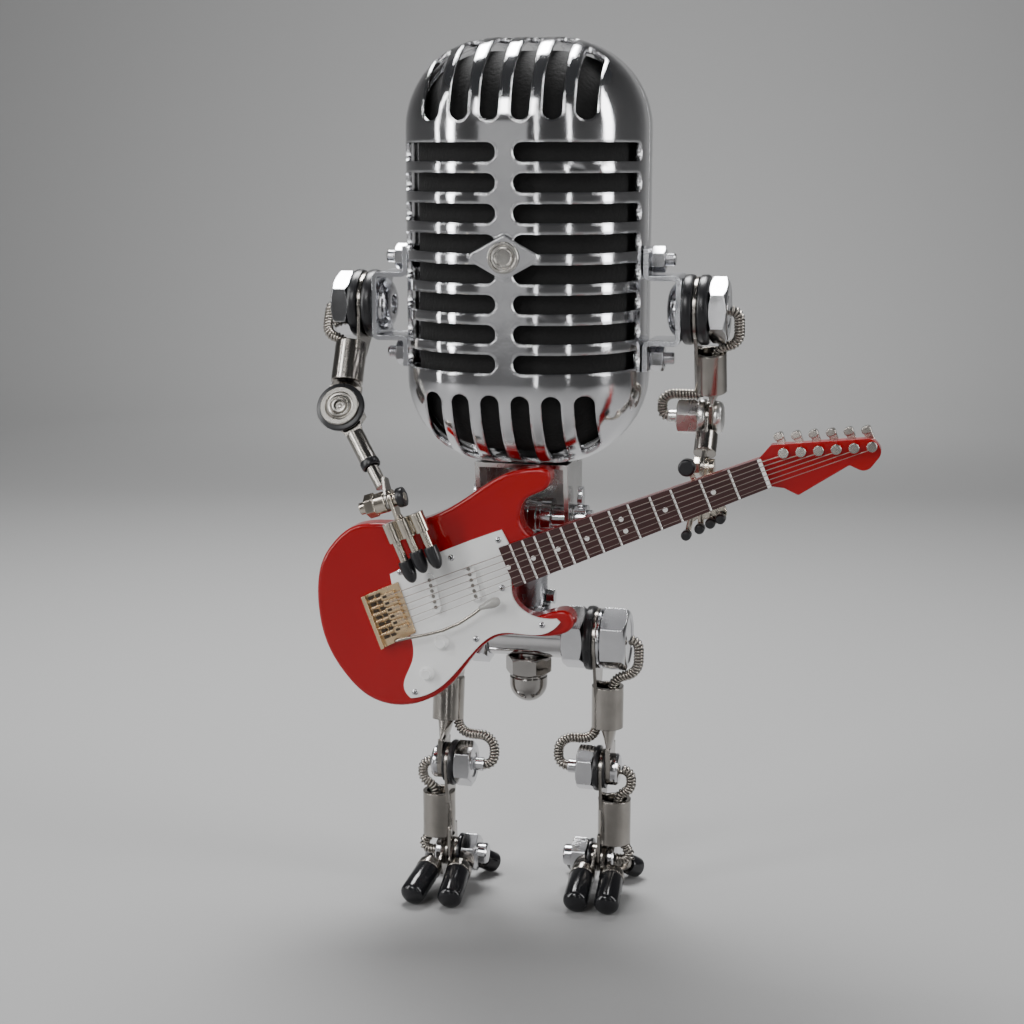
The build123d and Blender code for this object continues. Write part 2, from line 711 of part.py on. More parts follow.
# --- neck bracket: one bent sheet under the head ---
tilt_axis = Plane(at(0, 0, tilt_z), x_dir=(0, 0, 1), z_dir=(1, 0, 0))
ear_out = neck_width / 2 - neck_sheet
with BuildPart() as neck_yoke:
    with BuildSketch(tilt_axis.offset(-neck_width / 2)) as ear_shape:
        with BuildLine():
            top = tilt_height
            half = neck_depth / 2
            Polyline((0, -ear_radius), (tilt_height - neck_front_drop, -half), (top, -half), (top, half),
                     (0, ear_radius), close=True)
        make_face()
        Circle(ear_radius)
    extrude(ear_shape.sketch, amount=neck_width)
    with BuildSketch(tilt_axis.offset(-ear_out)) as hollow:
        with Locations((0, neck_sheet)):
            Rectangle(2 * (top - neck_sheet), neck_depth)
    extrude(hollow.sketch, amount=2 * ear_out, mode=Mode.SUBTRACT)
    front_plane = Plane(at(0, -half, head_bottom - neck_front_drop), x_dir=(1, 0, 0), z_dir=(0, -1, 0))
    with BuildSketch(front_plane) as notch:
        Circle(notch_radius)
        with Locations((0, -neck_front_drop / 2)):
            Rectangle(neck_width, neck_front_drop)
    extrude(notch.sketch, amount=-neck_sheet, mode=Mode.SUBTRACT)
    with BuildSketch(tilt_axis.offset(-neck_width)) as pivot:
        Circle(tilt_bolt_radius + running)
    extrude(pivot.sketch, amount=2 * neck_width, mode=Mode.SUBTRACT)
    with BuildSketch(Plane(at(0, 0, head_bottom - neck_sheet))) as floor_holes:
        with Locations((neck_screw_x, 0), (-neck_screw_x, 0)):
            Circle(strap_screw_radius + seated)
    extrude(floor_holes.sketch, amount=neck_sheet, mode=Mode.SUBTRACT)
    with BuildSketch(Plane(at(0, -half, 0), x_dir=(1, 0, 0), z_dir=(0, -1, 0))) as carrier_holes:
        with Locations(*mount_points):
            Circle(mount_screw_radius + seated)
    extrude(carrier_holes.sketch, amount=-neck_sheet, mode=Mode.SUBTRACT)
keep(neck_yoke.part, "neck_yoke")

# --- swivel hub, tilt bolt, spine ---
with BuildPart() as swivel_hub:
    puck(tilt_axis, -ear_out + soft_gap, hub_sleeve_radius, 2 * (ear_out - soft_gap))
    puck(tilt_axis, -hub_half_length, hub_radius, 2 * hub_half_length)
    for ring in (-0.5, 0, 0.5):
        groove = tilt_axis.offset(ring * hub_half_length - ring_groove / 2)
        with BuildSketch(groove) as ring_cut:
            Circle(hub_radius + 1)
            Circle(hub_radius - hub_ring_depth, mode=Mode.SUBTRACT)
        extrude(ring_cut.sketch, amount=ring_groove, mode=Mode.SUBTRACT)
    with BuildSketch(Plane(at(0, 0, spine_top - hub_stem))) as stem:
        Circle(spine_bore - seated)
    extrude(stem.sketch, amount=hub_stem + hub_radius)
    with BuildSketch(tilt_axis.offset(-neck_width)) as bolt_way:
        Circle(tilt_bolt_radius + seated)
    extrude(bolt_way.sketch, amount=2 * neck_width, mode=Mode.SUBTRACT)
keep(swivel_hub.part, "swivel_hub")

wing_out = neck_width / 2 + side_play
with BuildPart() as tilt_bolt:
    puck(tilt_axis, -wing_out - tilt_bolt_end, tilt_bolt_radius, 2 * (wing_out + tilt_bolt_end))
keep(tilt_bolt.part, "tilt_bolt")

with BuildPart() as torso_fasteners:
    for side in (1, -1):
        axis = Plane(at(0, 0, tilt_z), x_dir=(0, 0, 1), z_dir=(side, 0, 0))
        puck(axis, wing_out, tilt_bolt_radius + wing_nut_wall, wing_nut_height, tilt_bolt_radius + seated)
        with BuildSketch(axis.offset(wing_out + 1)) as wings:
            with Locations((wing_span, 0), (-wing_span, 0)):
                Ellipse(*wing_half)
            Rectangle(2 * wing_span, wing_half[1])
            Circle(tilt_bolt_radius + 1, mode=Mode.SUBTRACT)
        extrude(wings.sketch, amount=wing_sheet)
    set_screw = Plane(at(0, 0, spine_bottom + collar_height + set_screw_rise), x_dir=(0, 0, 1), z_dir=(1, 0, 0))
    puck(set_screw, spine_radius - set_screw_bite, set_screw_radius, set_screw_bite)
    hexagon(set_screw, spine_radius, set_screw_flats, set_screw_head)
keep(torso_fasteners.part, "torso_fasteners")

with BuildPart() as spine_tube:
    spine_floor = Plane(at(0, 0, spine_bottom))
    puck(spine_floor, 0, spine_radius, spine_top - spine_bottom, spine_bore)
    puck(spine_floor, 0, collar_radius, collar_height, spine_bore)
    with BuildSketch(set_screw.offset(spine_radius - set_screw_bite)) as screw_way:
        Circle(set_screw_radius + seated)
    extrude(screw_way.sketch, amount=set_screw_bite, mode=Mode.SUBTRACT)
    hub_end = Plane(at(0, 0, tilt_z), x_dir=(0, 1, 0), z_dir=(1, 0, 0)).offset(-hub_half_length)
    with BuildSketch(hub_end) as seat:
        Circle(hub_radius)
    extrude(seat.sketch, amount=2 * hub_half_length, mode=Mode.SUBTRACT)
keep(spine_tube.part, "spine_tube")

# --- hips: cross tube, waist bolt with its dome nut, side bolts ---
hip_axis = Plane(at(0, 0, hip_height), x_dir=(0, 0, 1), z_dir=(1, 0, 0))
with BuildPart() as hip_tube:
    puck(hip_axis, -hip_tube_half, hip_tube_radius, 2 * hip_tube_half, hip_tube_bore)
    with BuildSketch(Plane(at(0, 0, hip_height - 2 * hip_tube_radius))) as upright_hole:
        Circle(waist_bolt_radius + seated)
    extrude(upright_hole.sketch, amount=4 * hip_tube_radius, mode=Mode.SUBTRACT)
keep(hip_tube.part, "hip_tube")

acorn_top = hip_height - hip_tube_radius
with BuildPart() as waist_bolt:
    waist_top = spine_bottom + waist_bolt_reach
    nut_plane = Plane(at(0, 0, acorn_top - acorn_hex))
    puck(nut_plane, 0, waist_bolt_radius, waist_top - acorn_top + acorn_hex)
    hexagon(nut_plane, 0, acorn_flats, acorn_hex, waist_bolt_radius + seated)
    with BuildSketch(Plane(at(0, 0, 0), x_dir=(1, 0, 0), z_dir=(0, -1, 0))) as dome:
        with BuildLine():
            dome_z = acorn_top - acorn_hex
            rim = Line((0, dome_z), (dome_radius, dome_z))
            skirt = Line(rim @ 1, (dome_radius, dome_z - acorn_dome + dome_radius))
            bowl = JernArc(start=skirt @ 1, tangent=(0, -1), radius=dome_radius, arc_size=-90)
            Line(bowl @ 1, rim @ 0)
        make_face()
    revolve(dome.sketch, axis=Axis(at(0, 0, 0), (0, 0, 1)))
keep(waist_bolt.part, "waist_bolt")

with BuildPart() as hip_bolts:
    for side in (1, -1):
        axis = Plane(at(0, 0, hip_height), x_dir=(0, 0, 1), z_dir=(side, 0, 0))
        bolt_inner = hip_tube_half - hip_bolt_reach
        puck(axis, bolt_inner, hip_bolt_radius, hip_head_out - bolt_inner)
        hexagon(axis, hip_head_out, nut_flats, hip_head_height)
        hexagon(axis, hip_tube_half + side_play, nut_flats, hip_nut_height, hip_bolt_radius + seated)
keep(hip_bolts.part, "hip_bolts")

with BuildPart() as hip_washers:
    for side in (1, -1):
        axis = Plane(at(0, 0, hip_height), x_dir=(0, 0, 1), z_dir=(side, 0, 0))
        puck(axis, hip_washer_out, hip_washer_radius, hip_washer, hip_bolt_radius + seated)
        puck(axis, hip_thin_out, thigh_tab_radius, hip_thin_washer, hip_bolt_radius + seated)
keep(hip_washers.part, "hip_washers")


# --- legs ---
def lug_aim(turn, fall):
    """Direction of a foot lug: turned from straight ahead, falling under the level."""
    flat = cos(radians(fall))
    return Vector(flat * sin(radians(turn)), -flat * cos(radians(turn)), -sin(radians(fall)))


for side in (1, -1):
    name = side_names[side]
    hip_frame = hip[side]
    knee_frame = knee[side]
    hip_knee = turned_over(hip_frame, thigh_length)
    knee_ankle = turned_over(knee_frame, shin_length)

    with BuildPart() as thigh_lug:
        barrel(hip_frame, thigh_barrel_start, thigh_barrel_end, thigh_axis_out, thigh_barrel_radius,
               barrel_wall)
        flattened(hip_frame, thigh_barrel_end, thigh_axis_out + 0.5, (thigh_barrel_radius - 0.6, 2.6),
                  thigh_length - 7, thigh_foot_out + knee_tab / 2, (knee_tab_radius, knee_tab / 2))
        tab(hip_frame, thigh_inner, thigh_tab, thigh_tab_radius, hip_bolt_radius + running,
            thigh_barrel_start + 3, thigh_barrel_radius - 1.2)
        tab(hip_knee, thigh_foot_out, knee_tab, knee_tab_radius, knee_bolt_radius + seated,
            8, knee_tab_radius)
    keep(thigh_lug.part, f"thigh_lug_{name}")

    with BuildPart() as thigh_hoses:
        start_out = hip_end + soft_gap
        inside_out = thigh_axis_out + 1.4
        loop_out = start_out + hose_stand
        hose(hip_frame, [(0, start_out), (0, loop_out), (hose_drop, loop_out),
                         (hose_drop + 1.7, inside_out), (hose_tuck + 0.5, inside_out)], [2.0, 3.0, 3.0])
        stub_out = knee_nut_out - knee_stub
        leaving = thigh_axis_out - thigh_barrel_radius + 1.6
        hose(hip_frame, [(thigh_barrel_end, leaving), (33.5, leaving), (33.8, stub_out - 3.2),
                         (thigh_length, stub_out - 3.2), (thigh_length, stub_out)], [3.0, 3.0, 2.0])
    keep(thigh_hoses.part, f"thigh_hoses_{name}")

    with BuildPart() as knee_bolt:
        centre_frame = Plane(origin=knee_frame.origin, x_dir=hip_frame.x_dir, z_dir=hip_frame.z_dir)
        puck(centre_frame, stub_out, knee_stub_radius, knee_stub)
        puck(centre_frame, knee_nut_out, knee_bolt_radius, knee_disc_out - knee_nut_out)
        puck(centre_frame, knee_disc_out, knee_tab_radius, knee_disc)
        hexagon(centre_frame, knee_nut_out, knee_nut_flats, knee_nut_height, knee_bolt_radius + seated)
    keep(knee_bolt.part, f"knee_bolt_{name}")

    with BuildPart() as knee_washers:
        puck(centre_frame, knee_inner_washer_out, knee_washer_radius, knee_inner_washer,
             knee_bolt_radius + seated)
        puck(centre_frame, knee_outer_washer_out, knee_washer_radius - 1, knee_outer_washer,
             knee_bolt_radius + seated)
    keep(knee_washers.part, f"knee_washers_{name}")

    with BuildPart() as shin_lug:
        barrel(knee_frame, shin_barrel_start, shin_barrel_end, shin_axis_out, shin_barrel_radius, barrel_wall)
        tab(knee_frame, shin_inner, shin_tab, shin_tab_radius, knee_bolt_radius + running,
            shin_barrel_start + 3, shin_barrel_radius - 1.2)
        tab(knee_ankle, ankle_shin_out, ankle_shin_tab, ankle_tab_radius, ankle_bolt_radius + seated,
            shin_length - shin_barrel_end + 3, shin_barrel_radius - 1.2)
    keep(shin_lug.part, f"shin_lug_{name}")

    with BuildPart() as shin_hoses:
        disc_end = knee_disc_out + knee_disc
        entering = shin_axis_out + 1.2
        hose(knee_frame, [(0, disc_end + soft_gap), (0, disc_end + 3.4), (6.6, disc_end + 3.4),
                          (8.6, entering), (13.5, entering)], [1.6, 2.6, 1.8])
        bolt_end = ankle_head_out + ankle_head
        below = shin_barrel_end
        leaving_out = shin_axis_out + shin_barrel_radius - 1.6
        hose(knee_frame, [(below, leaving_out), (below + 1.6, leaving_out), (below + 3.2, leaving_out + 1.4),
                          (shin_length, leaving_out + 1.4), (shin_length, bolt_end)], [1.6, 1.6, 1.5])
    keep(shin_hoses.part, f"shin_hoses_{name}")

    ankle_frame = Plane(origin=ankle[side], x_dir=knee_frame.x_dir, z_dir=knee_frame.z_dir)
    with BuildPart() as ankle_bolt:
        puck(ankle_frame, ankle_nut_out - ankle_stub, ankle_stub_radius, ankle_stub)
        puck(ankle_frame, ankle_nut_out, ankle_bolt_radius, ankle_head_out - ankle_nut_out)
        puck(ankle_frame, ankle_head_out, ankle_tab_radius, ankle_head)
        hexagon(ankle_frame, ankle_nut_out, ankle_nut_flats, ankle_nut_height, ankle_bolt_radius + seated)
    keep(ankle_bolt.part, f"ankle_bolt_{name}")

    # four lugs on the ankle bolt: two toes ahead, two heels behind, their caps worn flat on the floor
    toe_fall = degrees(asin((ankle[side].Z - cap_drop) / toe_length))
    heel_fall = degrees(asin((ankle[side].Z - heel_cap_radius + cap_squash) / heel_length))
    cap_planes = []
    with BuildPart() as foot_lugs:
        for out, outward, splay in ((inner_toe_out, -1, 0.0), (outer_toe_out, 1, toe_splay[side])):
            middle = Vector(side * (out + ankle_tab / 2 + outward * (toe_radius - ankle_tab / 2)), 0, 0)
            begin = ankle[side] + middle + lug_aim(0, toe_fall) * toe_start
            aim = lug_aim(side * outward * splay, toe_fall)
            end = begin + aim * (toe_length - toe_start)
            rod(begin, end - aim * cap_wall, toe_radius)
            rod(end - aim * (cap_length + toe_collar), end - aim * cap_length, toe_collar_radius)
            toe_frame = Plane(origin=ankle[side], x_dir=lug_aim(0, toe_fall), z_dir=(side, 0, 0))
            tab(toe_frame, out, ankle_tab, ankle_tab_radius, ankle_bolt_radius + running,
                toe_start + 1, toe_radius - 0.4)
            cap_planes.append((Plane(origin=end, z_dir=aim), cap_radius, toe_radius, cap_length))
        for out, outward in ((inner_heel_out, -1), (outer_heel_out, 1)):
            straight = lug_aim(180, heel_fall)
            palm = ankle[side] + Vector(side * (out + ankle_tab / 2), 0, 0) + straight * heel_start
            begin = palm + Vector(side * outward * heel_offset, 0, 0)
            aim = lug_aim(180 - side * outward * heel_splay, heel_fall)
            end = begin + aim * (heel_length - heel_start)
            rod(palm, begin, heel_neck_radius)
            rod(begin, end - aim * cap_wall, heel_radius)
            heel_frame = Plane(origin=ankle[side], x_dir=straight, z_dir=(side, 0, 0))
            tab(heel_frame, out, ankle_tab, ankle_tab_radius, ankle_bolt_radius + running,
                heel_start + heel_neck_radius, heel_neck_radius)
            cap_planes.append((Plane(origin=end, z_dir=aim), heel_cap_radius, heel_radius, heel_cap_length))
    keep(foot_lugs.part, f"foot_lugs_{name}")

    with BuildPart() as foot_rubbers:
        for end, outer, inner, length in cap_planes:
            with BuildSketch(end) as cap:
                Circle(outer)
            extrude(cap.sketch, amount=-length)
            with BuildSketch(end.offset(-cap_wall)) as hollow:
                Circle(inner + seated)
            extrude(hollow.sketch, amount=-length, mode=Mode.SUBTRACT)
        split(bisect_by=Plane.XY, keep=Keep.TOP)
        puck(ankle_frame, ankle_washer_out, ankle_washer_radius, ankle_washer, ankle_bolt_radius + running)
    keep(foot_rubbers.part, f"foot_rubbers_{name}")


# --- arms ---
def arm_hose(frame):
    """Hose from the shoulder nut's end round into the upper arm's barrel."""
    start_out = shoulder_end + soft_gap
    inside_out = arm_axis_out + 1.8
    loop_out = start_out + hose_stand
    hose(frame, [(0, start_out), (0, loop_out), (hose_drop, loop_out), (hose_drop + 1.2, inside_out),
                 (hose_tuck, inside_out)], [2.0, 3.0, 3.0])


def upper_arm_top(frame):
    """Ring tab at the shoulder and the barrel under it."""
    barrel(frame, arm_barrel_start, arm_barrel_end, arm_axis_out, arm_barrel_radius, arm_barrel_wall)
    tab(frame, arm_inner, arm_tab, arm_tab_radius, shoulder_bolt_radius + running,
        arm_barrel_start + 3, arm_barrel_radius - 1.2)


# right arm: every axis runs straight out from the body
right_arm = shoulder[1]
right_elbow = turned_over(right_arm, arm_length)
elbow_tab_out = arm_axis_out - elbow_tab / 2 + 0.5
elbow_disc_out = elbow_tab_out + elbow_tab
forearm_out = elbow_tab_out - side_play - forearm_tab
elbow_washer_out = forearm_out - side_play - elbow_washer
elbow_nut_out = elbow_washer_out - elbow_nut_height - bearing
elbow_stub_out = elbow_nut_out - elbow_stub
right_forearm = limb_frame(1, right_elbow.origin, forearm_lean)
right_wrist = limb_frame(1, right_forearm.from_local_coords((forearm_length, 0, 0)), 0)
forearm_middle = forearm_out + forearm_tab / 2

with BuildPart() as upper_arm_right:
    upper_arm_top(right_arm)
    flattened(right_arm, arm_barrel_end, arm_axis_out + 1, (arm_barrel_radius - 0.8, 2.2),
              arm_length - elbow_tab_radius, elbow_tab_out + elbow_tab / 2, (elbow_tab_radius, elbow_tab / 2))
    tab(right_elbow, elbow_tab_out, elbow_tab, elbow_tab_radius, elbow_bolt_radius + seated,
        elbow_tab_radius + 1, elbow_tab_radius)
keep(upper_arm_right.part, "upper_arm_right")

with BuildPart() as arm_hoses_right:
    arm_hose(right_arm)
    leaving = arm_axis_out - arm_barrel_radius + hose_radius + 0.6
    hose(right_arm, [(arm_barrel_end, leaving), (arm_barrel_end + 1.45, leaving),
                     (arm_barrel_end + 1.45, elbow_stub_out - 1.8), (arm_length, elbow_stub_out - 1.8),
                     (arm_length, elbow_stub_out)], [1.4, 3.0, 1.5])
keep(arm_hoses_right.part, "arm_hoses_right")

with BuildPart() as elbow_bolt_right:
    puck(right_elbow, elbow_stub_out, elbow_bolt_radius - 0.5, elbow_stub)
    puck(right_elbow, elbow_nut_out, elbow_bolt_radius, elbow_disc_out - elbow_nut_out)
    puck(right_elbow, elbow_disc_out, elbow_disc_radius, elbow_disc)
    fillet(elbow_bolt_right.faces().sort_by(Axis.X)[-1].edges(), elbow_disc / 2)
    hexagon(right_elbow, elbow_nut_out, elbow_nut_flats, elbow_nut_height, elbow_bolt_radius + seated)
    puck(right_elbow, elbow_washer_out, elbow_tab_radius + 0.6, elbow_washer, elbow_bolt_radius + seated)
keep(elbow_bolt_right.part, "elbow_bolt_right")

with BuildPart() as forearm_right:
    barrel_start = elbow_tab_radius + 1.2
    with BuildSketch(cross_plane(right_forearm, barrel_start, forearm_middle)) as tube:
        Circle(forearm_barrel_radius)
    extrude(tube.sketch, amount=forearm_length - wrist_tab_radius - 1.6 - barrel_start)
    tab(right_forearm, forearm_out, forearm_tab, elbow_tab_radius, elbow_bolt_radius + running,
        barrel_start + 1, forearm_barrel_radius)
    tab(turned_over(right_forearm, forearm_length), forearm_out, forearm_tab, wrist_tab_radius,
        wrist_bolt_radius + seated, wrist_tab_radius + 3, wrist_tab_radius - 0.6)
keep(forearm_right.part, "forearm_right")


def wrist_bolt(frame, inner, outer):
    """Small bolt through a wrist's two tabs: nut on the inner end, round head on the outer end."""
    bolt_inner = inner - small_nut - 0.3
    puck(frame, bolt_inner, wrist_bolt_radius, outer - bolt_inner)
    puck(frame, outer, wrist_bolt_radius + 1.2, small_head)
    hexagon(frame, inner - small_nut - 0.1, 2 * wrist_bolt_radius + 2.4, small_nut,
            wrist_bolt_radius + seated)


# right hand: palm behind the guitar's neck, fingers under it and thumb over it
neck_back = guitar_front + neck_thickness
palm_right_front = neck_back + 0.8
palm_x, palm_z = palm_right
right_palm = Plane(at(palm_x, palm_right_front + palm_sheet, palm_z), x_dir=(1, 0, 0), z_dir=(0, -1, 0))
palm_wire_y = palm_right_front + palm_sheet / 2
finger_front = guitar_front + 2.5
hand_tab_out = forearm_out + forearm_tab + side_play
with BuildPart() as hand_right:
    with BuildSketch(right_palm) as lobes:
        Circle(palm_spread)
        with PolarLocations(palm_spread, 3, start_angle=90):
            Circle(palm_spread * 0.72)
    extrude(lobes.sketch, amount=palm_sheet)
    tab(right_wrist, hand_tab_out, forearm_tab, wrist_tab_radius, wrist_bolt_radius + running,
        6.5, 2.0)
    strut_top = right_wrist.from_local_coords((5.5, 0, hand_tab_out + forearm_tab / 2))
    rod(strut_top, at(palm_x, palm_right_front + palm_sheet, palm_z + 1), strut_radius)
    for (root_x, root_z), (tip_x, tip_z) in zip(finger_root + (thumb_root,), finger_under + (thumb_over,)):
        wire([at(palm_x + root_x, palm_wire_y, palm_z + root_z), at(tip_x, palm_wire_y, tip_z),
              at(tip_x, finger_front + 1, tip_z)], [finger_bend], wire_radius)
    wrist_bolt(right_wrist, forearm_out - side_play, hand_tab_out + forearm_tab)
keep(hand_right.part, "hand_right")

with BuildPart() as finger_tips_right:
    for tip_x, tip_z in finger_under + (thumb_over,):
        tip_plane = Plane(at(tip_x, finger_front, tip_z), x_dir=(1, 0, 0), z_dir=(0, 1, 0))
        with BuildSketch(tip_plane) as tip:
            Circle(thumb_tip_radius if (tip_x, tip_z) == thumb_over else tip_radius * 0.7)
        extrude(tip.sketch, amount=tip_length - 2.3)
        with BuildSketch(tip_plane.offset(1 - seated)) as tip_bore:
            Circle(wire_radius + seated)
        extrude(tip_bore.sketch, amount=tip_length, mode=Mode.SUBTRACT)
    noses = finger_tips_right.faces().group_by(Axis.Y)[0].edges()
    fillet(noses, 0.8)
keep(finger_tips_right.part, "finger_tips_right")


# left arm: its elbow turns about the line square to the arm and to the body's width
left_arm = shoulder[-1]
elbow_line = left_arm.y_dir
left_elbow = Plane(origin=left_arm.from_local_coords((arm_length, 0, arm_axis_out)),
                   x_dir=left_arm.x_dir * -1, z_dir=elbow_line)
bend = radians(left_elbow_bend)
left_run = left_arm.x_dir * cos(bend) + Vector(1, 0, 0) * sin(bend)
left_forearm = Plane(origin=left_elbow.origin, x_dir=left_run, z_dir=elbow_line)
left_tab_front = elbow_tab / 2 + side_play
left_washer_front = left_tab_front + forearm_tab + side_play
forearm_line = left_tab_front + forearm_tab / 2

with BuildPart() as upper_arm_left:
    upper_arm_top(left_arm)
    flattened(left_arm, arm_barrel_end, arm_axis_out, (arm_barrel_radius - 1.4, arm_barrel_radius - 0.6),
              arm_length - left_elbow_washer_radius + 0.3, arm_axis_out, (elbow_tab / 2, elbow_tab_radius))
    tab(left_elbow, -elbow_tab / 2, elbow_tab, elbow_tab_radius, elbow_bolt_radius + seated,
        left_elbow_washer_radius, elbow_tab_radius)
keep(upper_arm_left.part, "upper_arm_left")

with BuildPart() as arm_hoses_left:
    arm_hose(left_arm)
keep(arm_hoses_left.part, "arm_hoses_left")

with BuildPart() as elbow_bolt_left:
    behind = -elbow_tab / 2
    bolt_back = behind - elbow_washer - left_elbow_nut - 0.9
    puck(left_elbow, bolt_back, elbow_bolt_radius, left_washer_front + left_elbow_end - bolt_back)
    puck(left_elbow, left_washer_front + left_rubber + bearing, elbow_disc_radius + 1, left_elbow_cap,
         elbow_bolt_radius + seated)
    puck(left_elbow, left_washer_front, left_elbow_washer_radius, left_rubber, elbow_bolt_radius + seated)
    puck(left_elbow, behind - elbow_washer, elbow_tab_radius + 0.6, elbow_washer, elbow_bolt_radius + seated)
    hexagon(left_elbow, behind - elbow_washer - left_elbow_nut - bearing, elbow_nut_flats, left_elbow_nut,
            elbow_bolt_radius + seated)
keep(elbow_bolt_left.part, "elbow_bolt_left")

# left wrist: its bolt lies level with the picking hand's back
wrist_slope = radians(left_wrist_slope)
wrist_line = Vector(-cos(wrist_slope), 0, -sin(wrist_slope))
wrist_point = left_forearm.from_local_coords((left_forearm_length, 0, forearm_line))
back_up = left_run * -1 + wrist_line * left_run.dot(wrist_line)
left_wrist = Plane(origin=wrist_point, x_dir=back_up, z_dir=wrist_line)
palm_left_back = guitar_front - 6.4
palm_left_y = palm_left_back - palm_sheet / 2
palm_left_middle = Vector(wrist_point.X + palm_left[0], body_y + palm_left_y, wrist_point.Z + palm_left[1])
to_palm = palm_left_middle - wrist_point
palmward = to_palm - wrist_line * to_palm.dot(wrist_line)
left_hand_frame = Plane(origin=wrist_point, x_dir=palmward, z_dir=wrist_line)

with BuildPart() as forearm_left:
    tab(left_forearm, left_tab_front, forearm_tab, elbow_tab_radius, elbow_bolt_radius + running,
        left_barrel_start + 1, left_barrel_radius - 0.4)
    rod(left_forearm.from_local_coords((left_barrel_start, 0, forearm_line)),
        left_forearm.from_local_coords((left_barrel_end, 0, forearm_line)), left_barrel_radius)
    rod(left_forearm.from_local_coords((left_barrel_end, 0, forearm_line)),
        left_forearm.from_local_coords((left_forearm_length - 5, 0, forearm_line)), left_rod_radius)
    tab(left_wrist, -forearm_tab / 2, forearm_tab, wrist_tab_radius, wrist_bolt_radius + running,
        7.5, left_rod_radius - 0.3)
keep(forearm_left.part, "forearm_left")

# left hand: three knuckle barrels side by side on a small web, each with its finger
hand_lean = radians(left_hand_lean)
finger_run = Vector(sin(hand_lean), 0, -cos(hand_lean))
knuckle_row = Vector(cos(hand_lean), 0, sin(hand_lean))
finger_lines = []
for place, reach in left_fingers:
    knuckle = palm_left_middle + knuckle_row * place
    finger_lines.append((knuckle, knuckle + finger_run * reach))
hand_tab = -forearm_tab / 2 - side_play - forearm_tab
disc_out = hand_tab - wrist_disc_gap
collar_in = forearm_tab / 2 + side_play
with BuildPart() as hand_left:
    left_palm = Plane(palm_left_middle + Vector(0, palm_sheet / 2, 0), x_dir=knuckle_row, z_dir=(0, -1, 0))
    with BuildSketch(left_palm) as web:
        Rectangle(*palm_web)
    extrude(web.sketch, amount=palm_sheet)
    tab(left_hand_frame, hand_tab, forearm_tab, wrist_tab_radius, wrist_bolt_radius + running, 6.0, 2.0)
    rod(left_hand_frame.from_local_coords((5.4, 0, hand_tab + forearm_tab / 2)),
        palm_left_middle + (wrist_point - palm_left_middle) * 0.15, strut_radius - 0.1)
    for knuckle, wire_end in finger_lines:
        rod(knuckle - finger_run * knuckle_back, knuckle + finger_run * knuckle_front, knuckle_radius)
        rod(knuckle, wire_end, left_finger_radius)
    nut_in = collar_in + wrist_collar + bearing
    stub_in = nut_in + wrist_nut + bearing
    puck(left_hand_frame, disc_out - wrist_disc, wrist_bolt_radius, stub_in - disc_out + wrist_disc)
    puck(left_hand_frame, disc_out + bearing, wrist_tab_radius - 1, wrist_disc_gap - 2 * bearing)
    puck(left_hand_frame, collar_in, wrist_collar_radius, wrist_collar)
    hexagon(left_hand_frame, nut_in, wrist_nut_flats, wrist_nut, wrist_bolt_radius + seated)
    puck(left_hand_frame, stub_in, wrist_stub_radius, wrist_stub)
keep(hand_left.part, "hand_left")

with BuildPart() as finger_tips_left:
    for knuckle, wire_end in finger_lines:
        nose = wire_end + finger_run * tip_nose
        with BuildSketch(Plane(origin=nose, z_dir=finger_run * -1)) as tip:
            Circle(tip_radius)
        extrude(tip.sketch, amount=left_tip_length)
        rims = finger_tips_left.edges().filter_by(GeomType.CIRCLE)
        fillet(rims.sort_by_distance(nose)[0], tip_nose - 0.2)
        with BuildSketch(Plane(origin=wire_end + finger_run * seated, z_dir=finger_run * -1)) as tip_bore:
            Circle(left_finger_radius + seated)
        extrude(tip_bore.sketch, amount=left_tip_length, mode=Mode.SUBTRACT)
    puck(left_hand_frame, disc_out - wrist_disc, wrist_disc_radius, wrist_disc, wrist_bolt_radius + seated)
keep(finger_tips_left.part, "finger_tips_left")


# --- guitar ---
slant = radians(guitar_angle)
guitar = Plane(origin=at(guitar_x, guitar_front, guitar_z), x_dir=(cos(slant), 0, sin(slant)),
               z_dir=(0, -1, 0))


def board_half(u):
    """Half the fretboard's width at a distance from its body end."""
    return (board_width_body - (board_width_body - board_width_nut) * u / scale_to_nut) / 2


heel_upper = (heel_upper_u, board_half(heel_upper_u))
heel_lower = (heel_lower_u, -board_half(heel_lower_u))
body_outline = (
    heel_lower, (-2.6, -12.1), (0.9, -17.0), (7.0, -17.9), (12.6, -20.2), (12.4, -23.4), (2.6, -24.4),
    (-11.5, -19.5), (-21.4, -22.5), (-29.9, -27.7), (-40.1, -30.8), (-50.3, -29.7), (-58.7, -24.1),
    (-63.5, -14.5), (-65.2, -1.8), (-63.4, 7.9), (-60.4, 15.5), (-55.6, 22.3), (-48.9, 26.7),
    (-42.7, 28.5), (-36.1, 27.5), (-27.0, 24.1), (-13.5, 22.9), (-2.4, 24.8), (8.7, 26.9),
    (18.0, 25.8), (23.2, 22.6), (21.4, 18.9), (13.2, 17.4), (9.9, 14.2), heel_upper,
)
guard_top = ((-36.1, 10.7), (-17.1, 11.7), (2.8, 11.5))
guard_cutaway = ((-1.0, -6.0), (-1.9, -10.2), (-0.1, -14.8), (3.3, -18.0), (8.3, -20.1))
guard_foot = ((9.0, -21.6), (1.3, -23.0), (-10.9, -18.4), (-20.2, -21.0), (-34.6, -28.0), (-45.6, -28.4))
guard_left = ((-45.6, -28.4), (-46.4, -24.6), (-40.4, -17.4), (-37.6, -0.9), (-36.1, 10.7))
bridge_outline = ((-47.2, 7.2), (-34.6, 7.5), (-35.5, -9.2), (-47.7, -10.4))
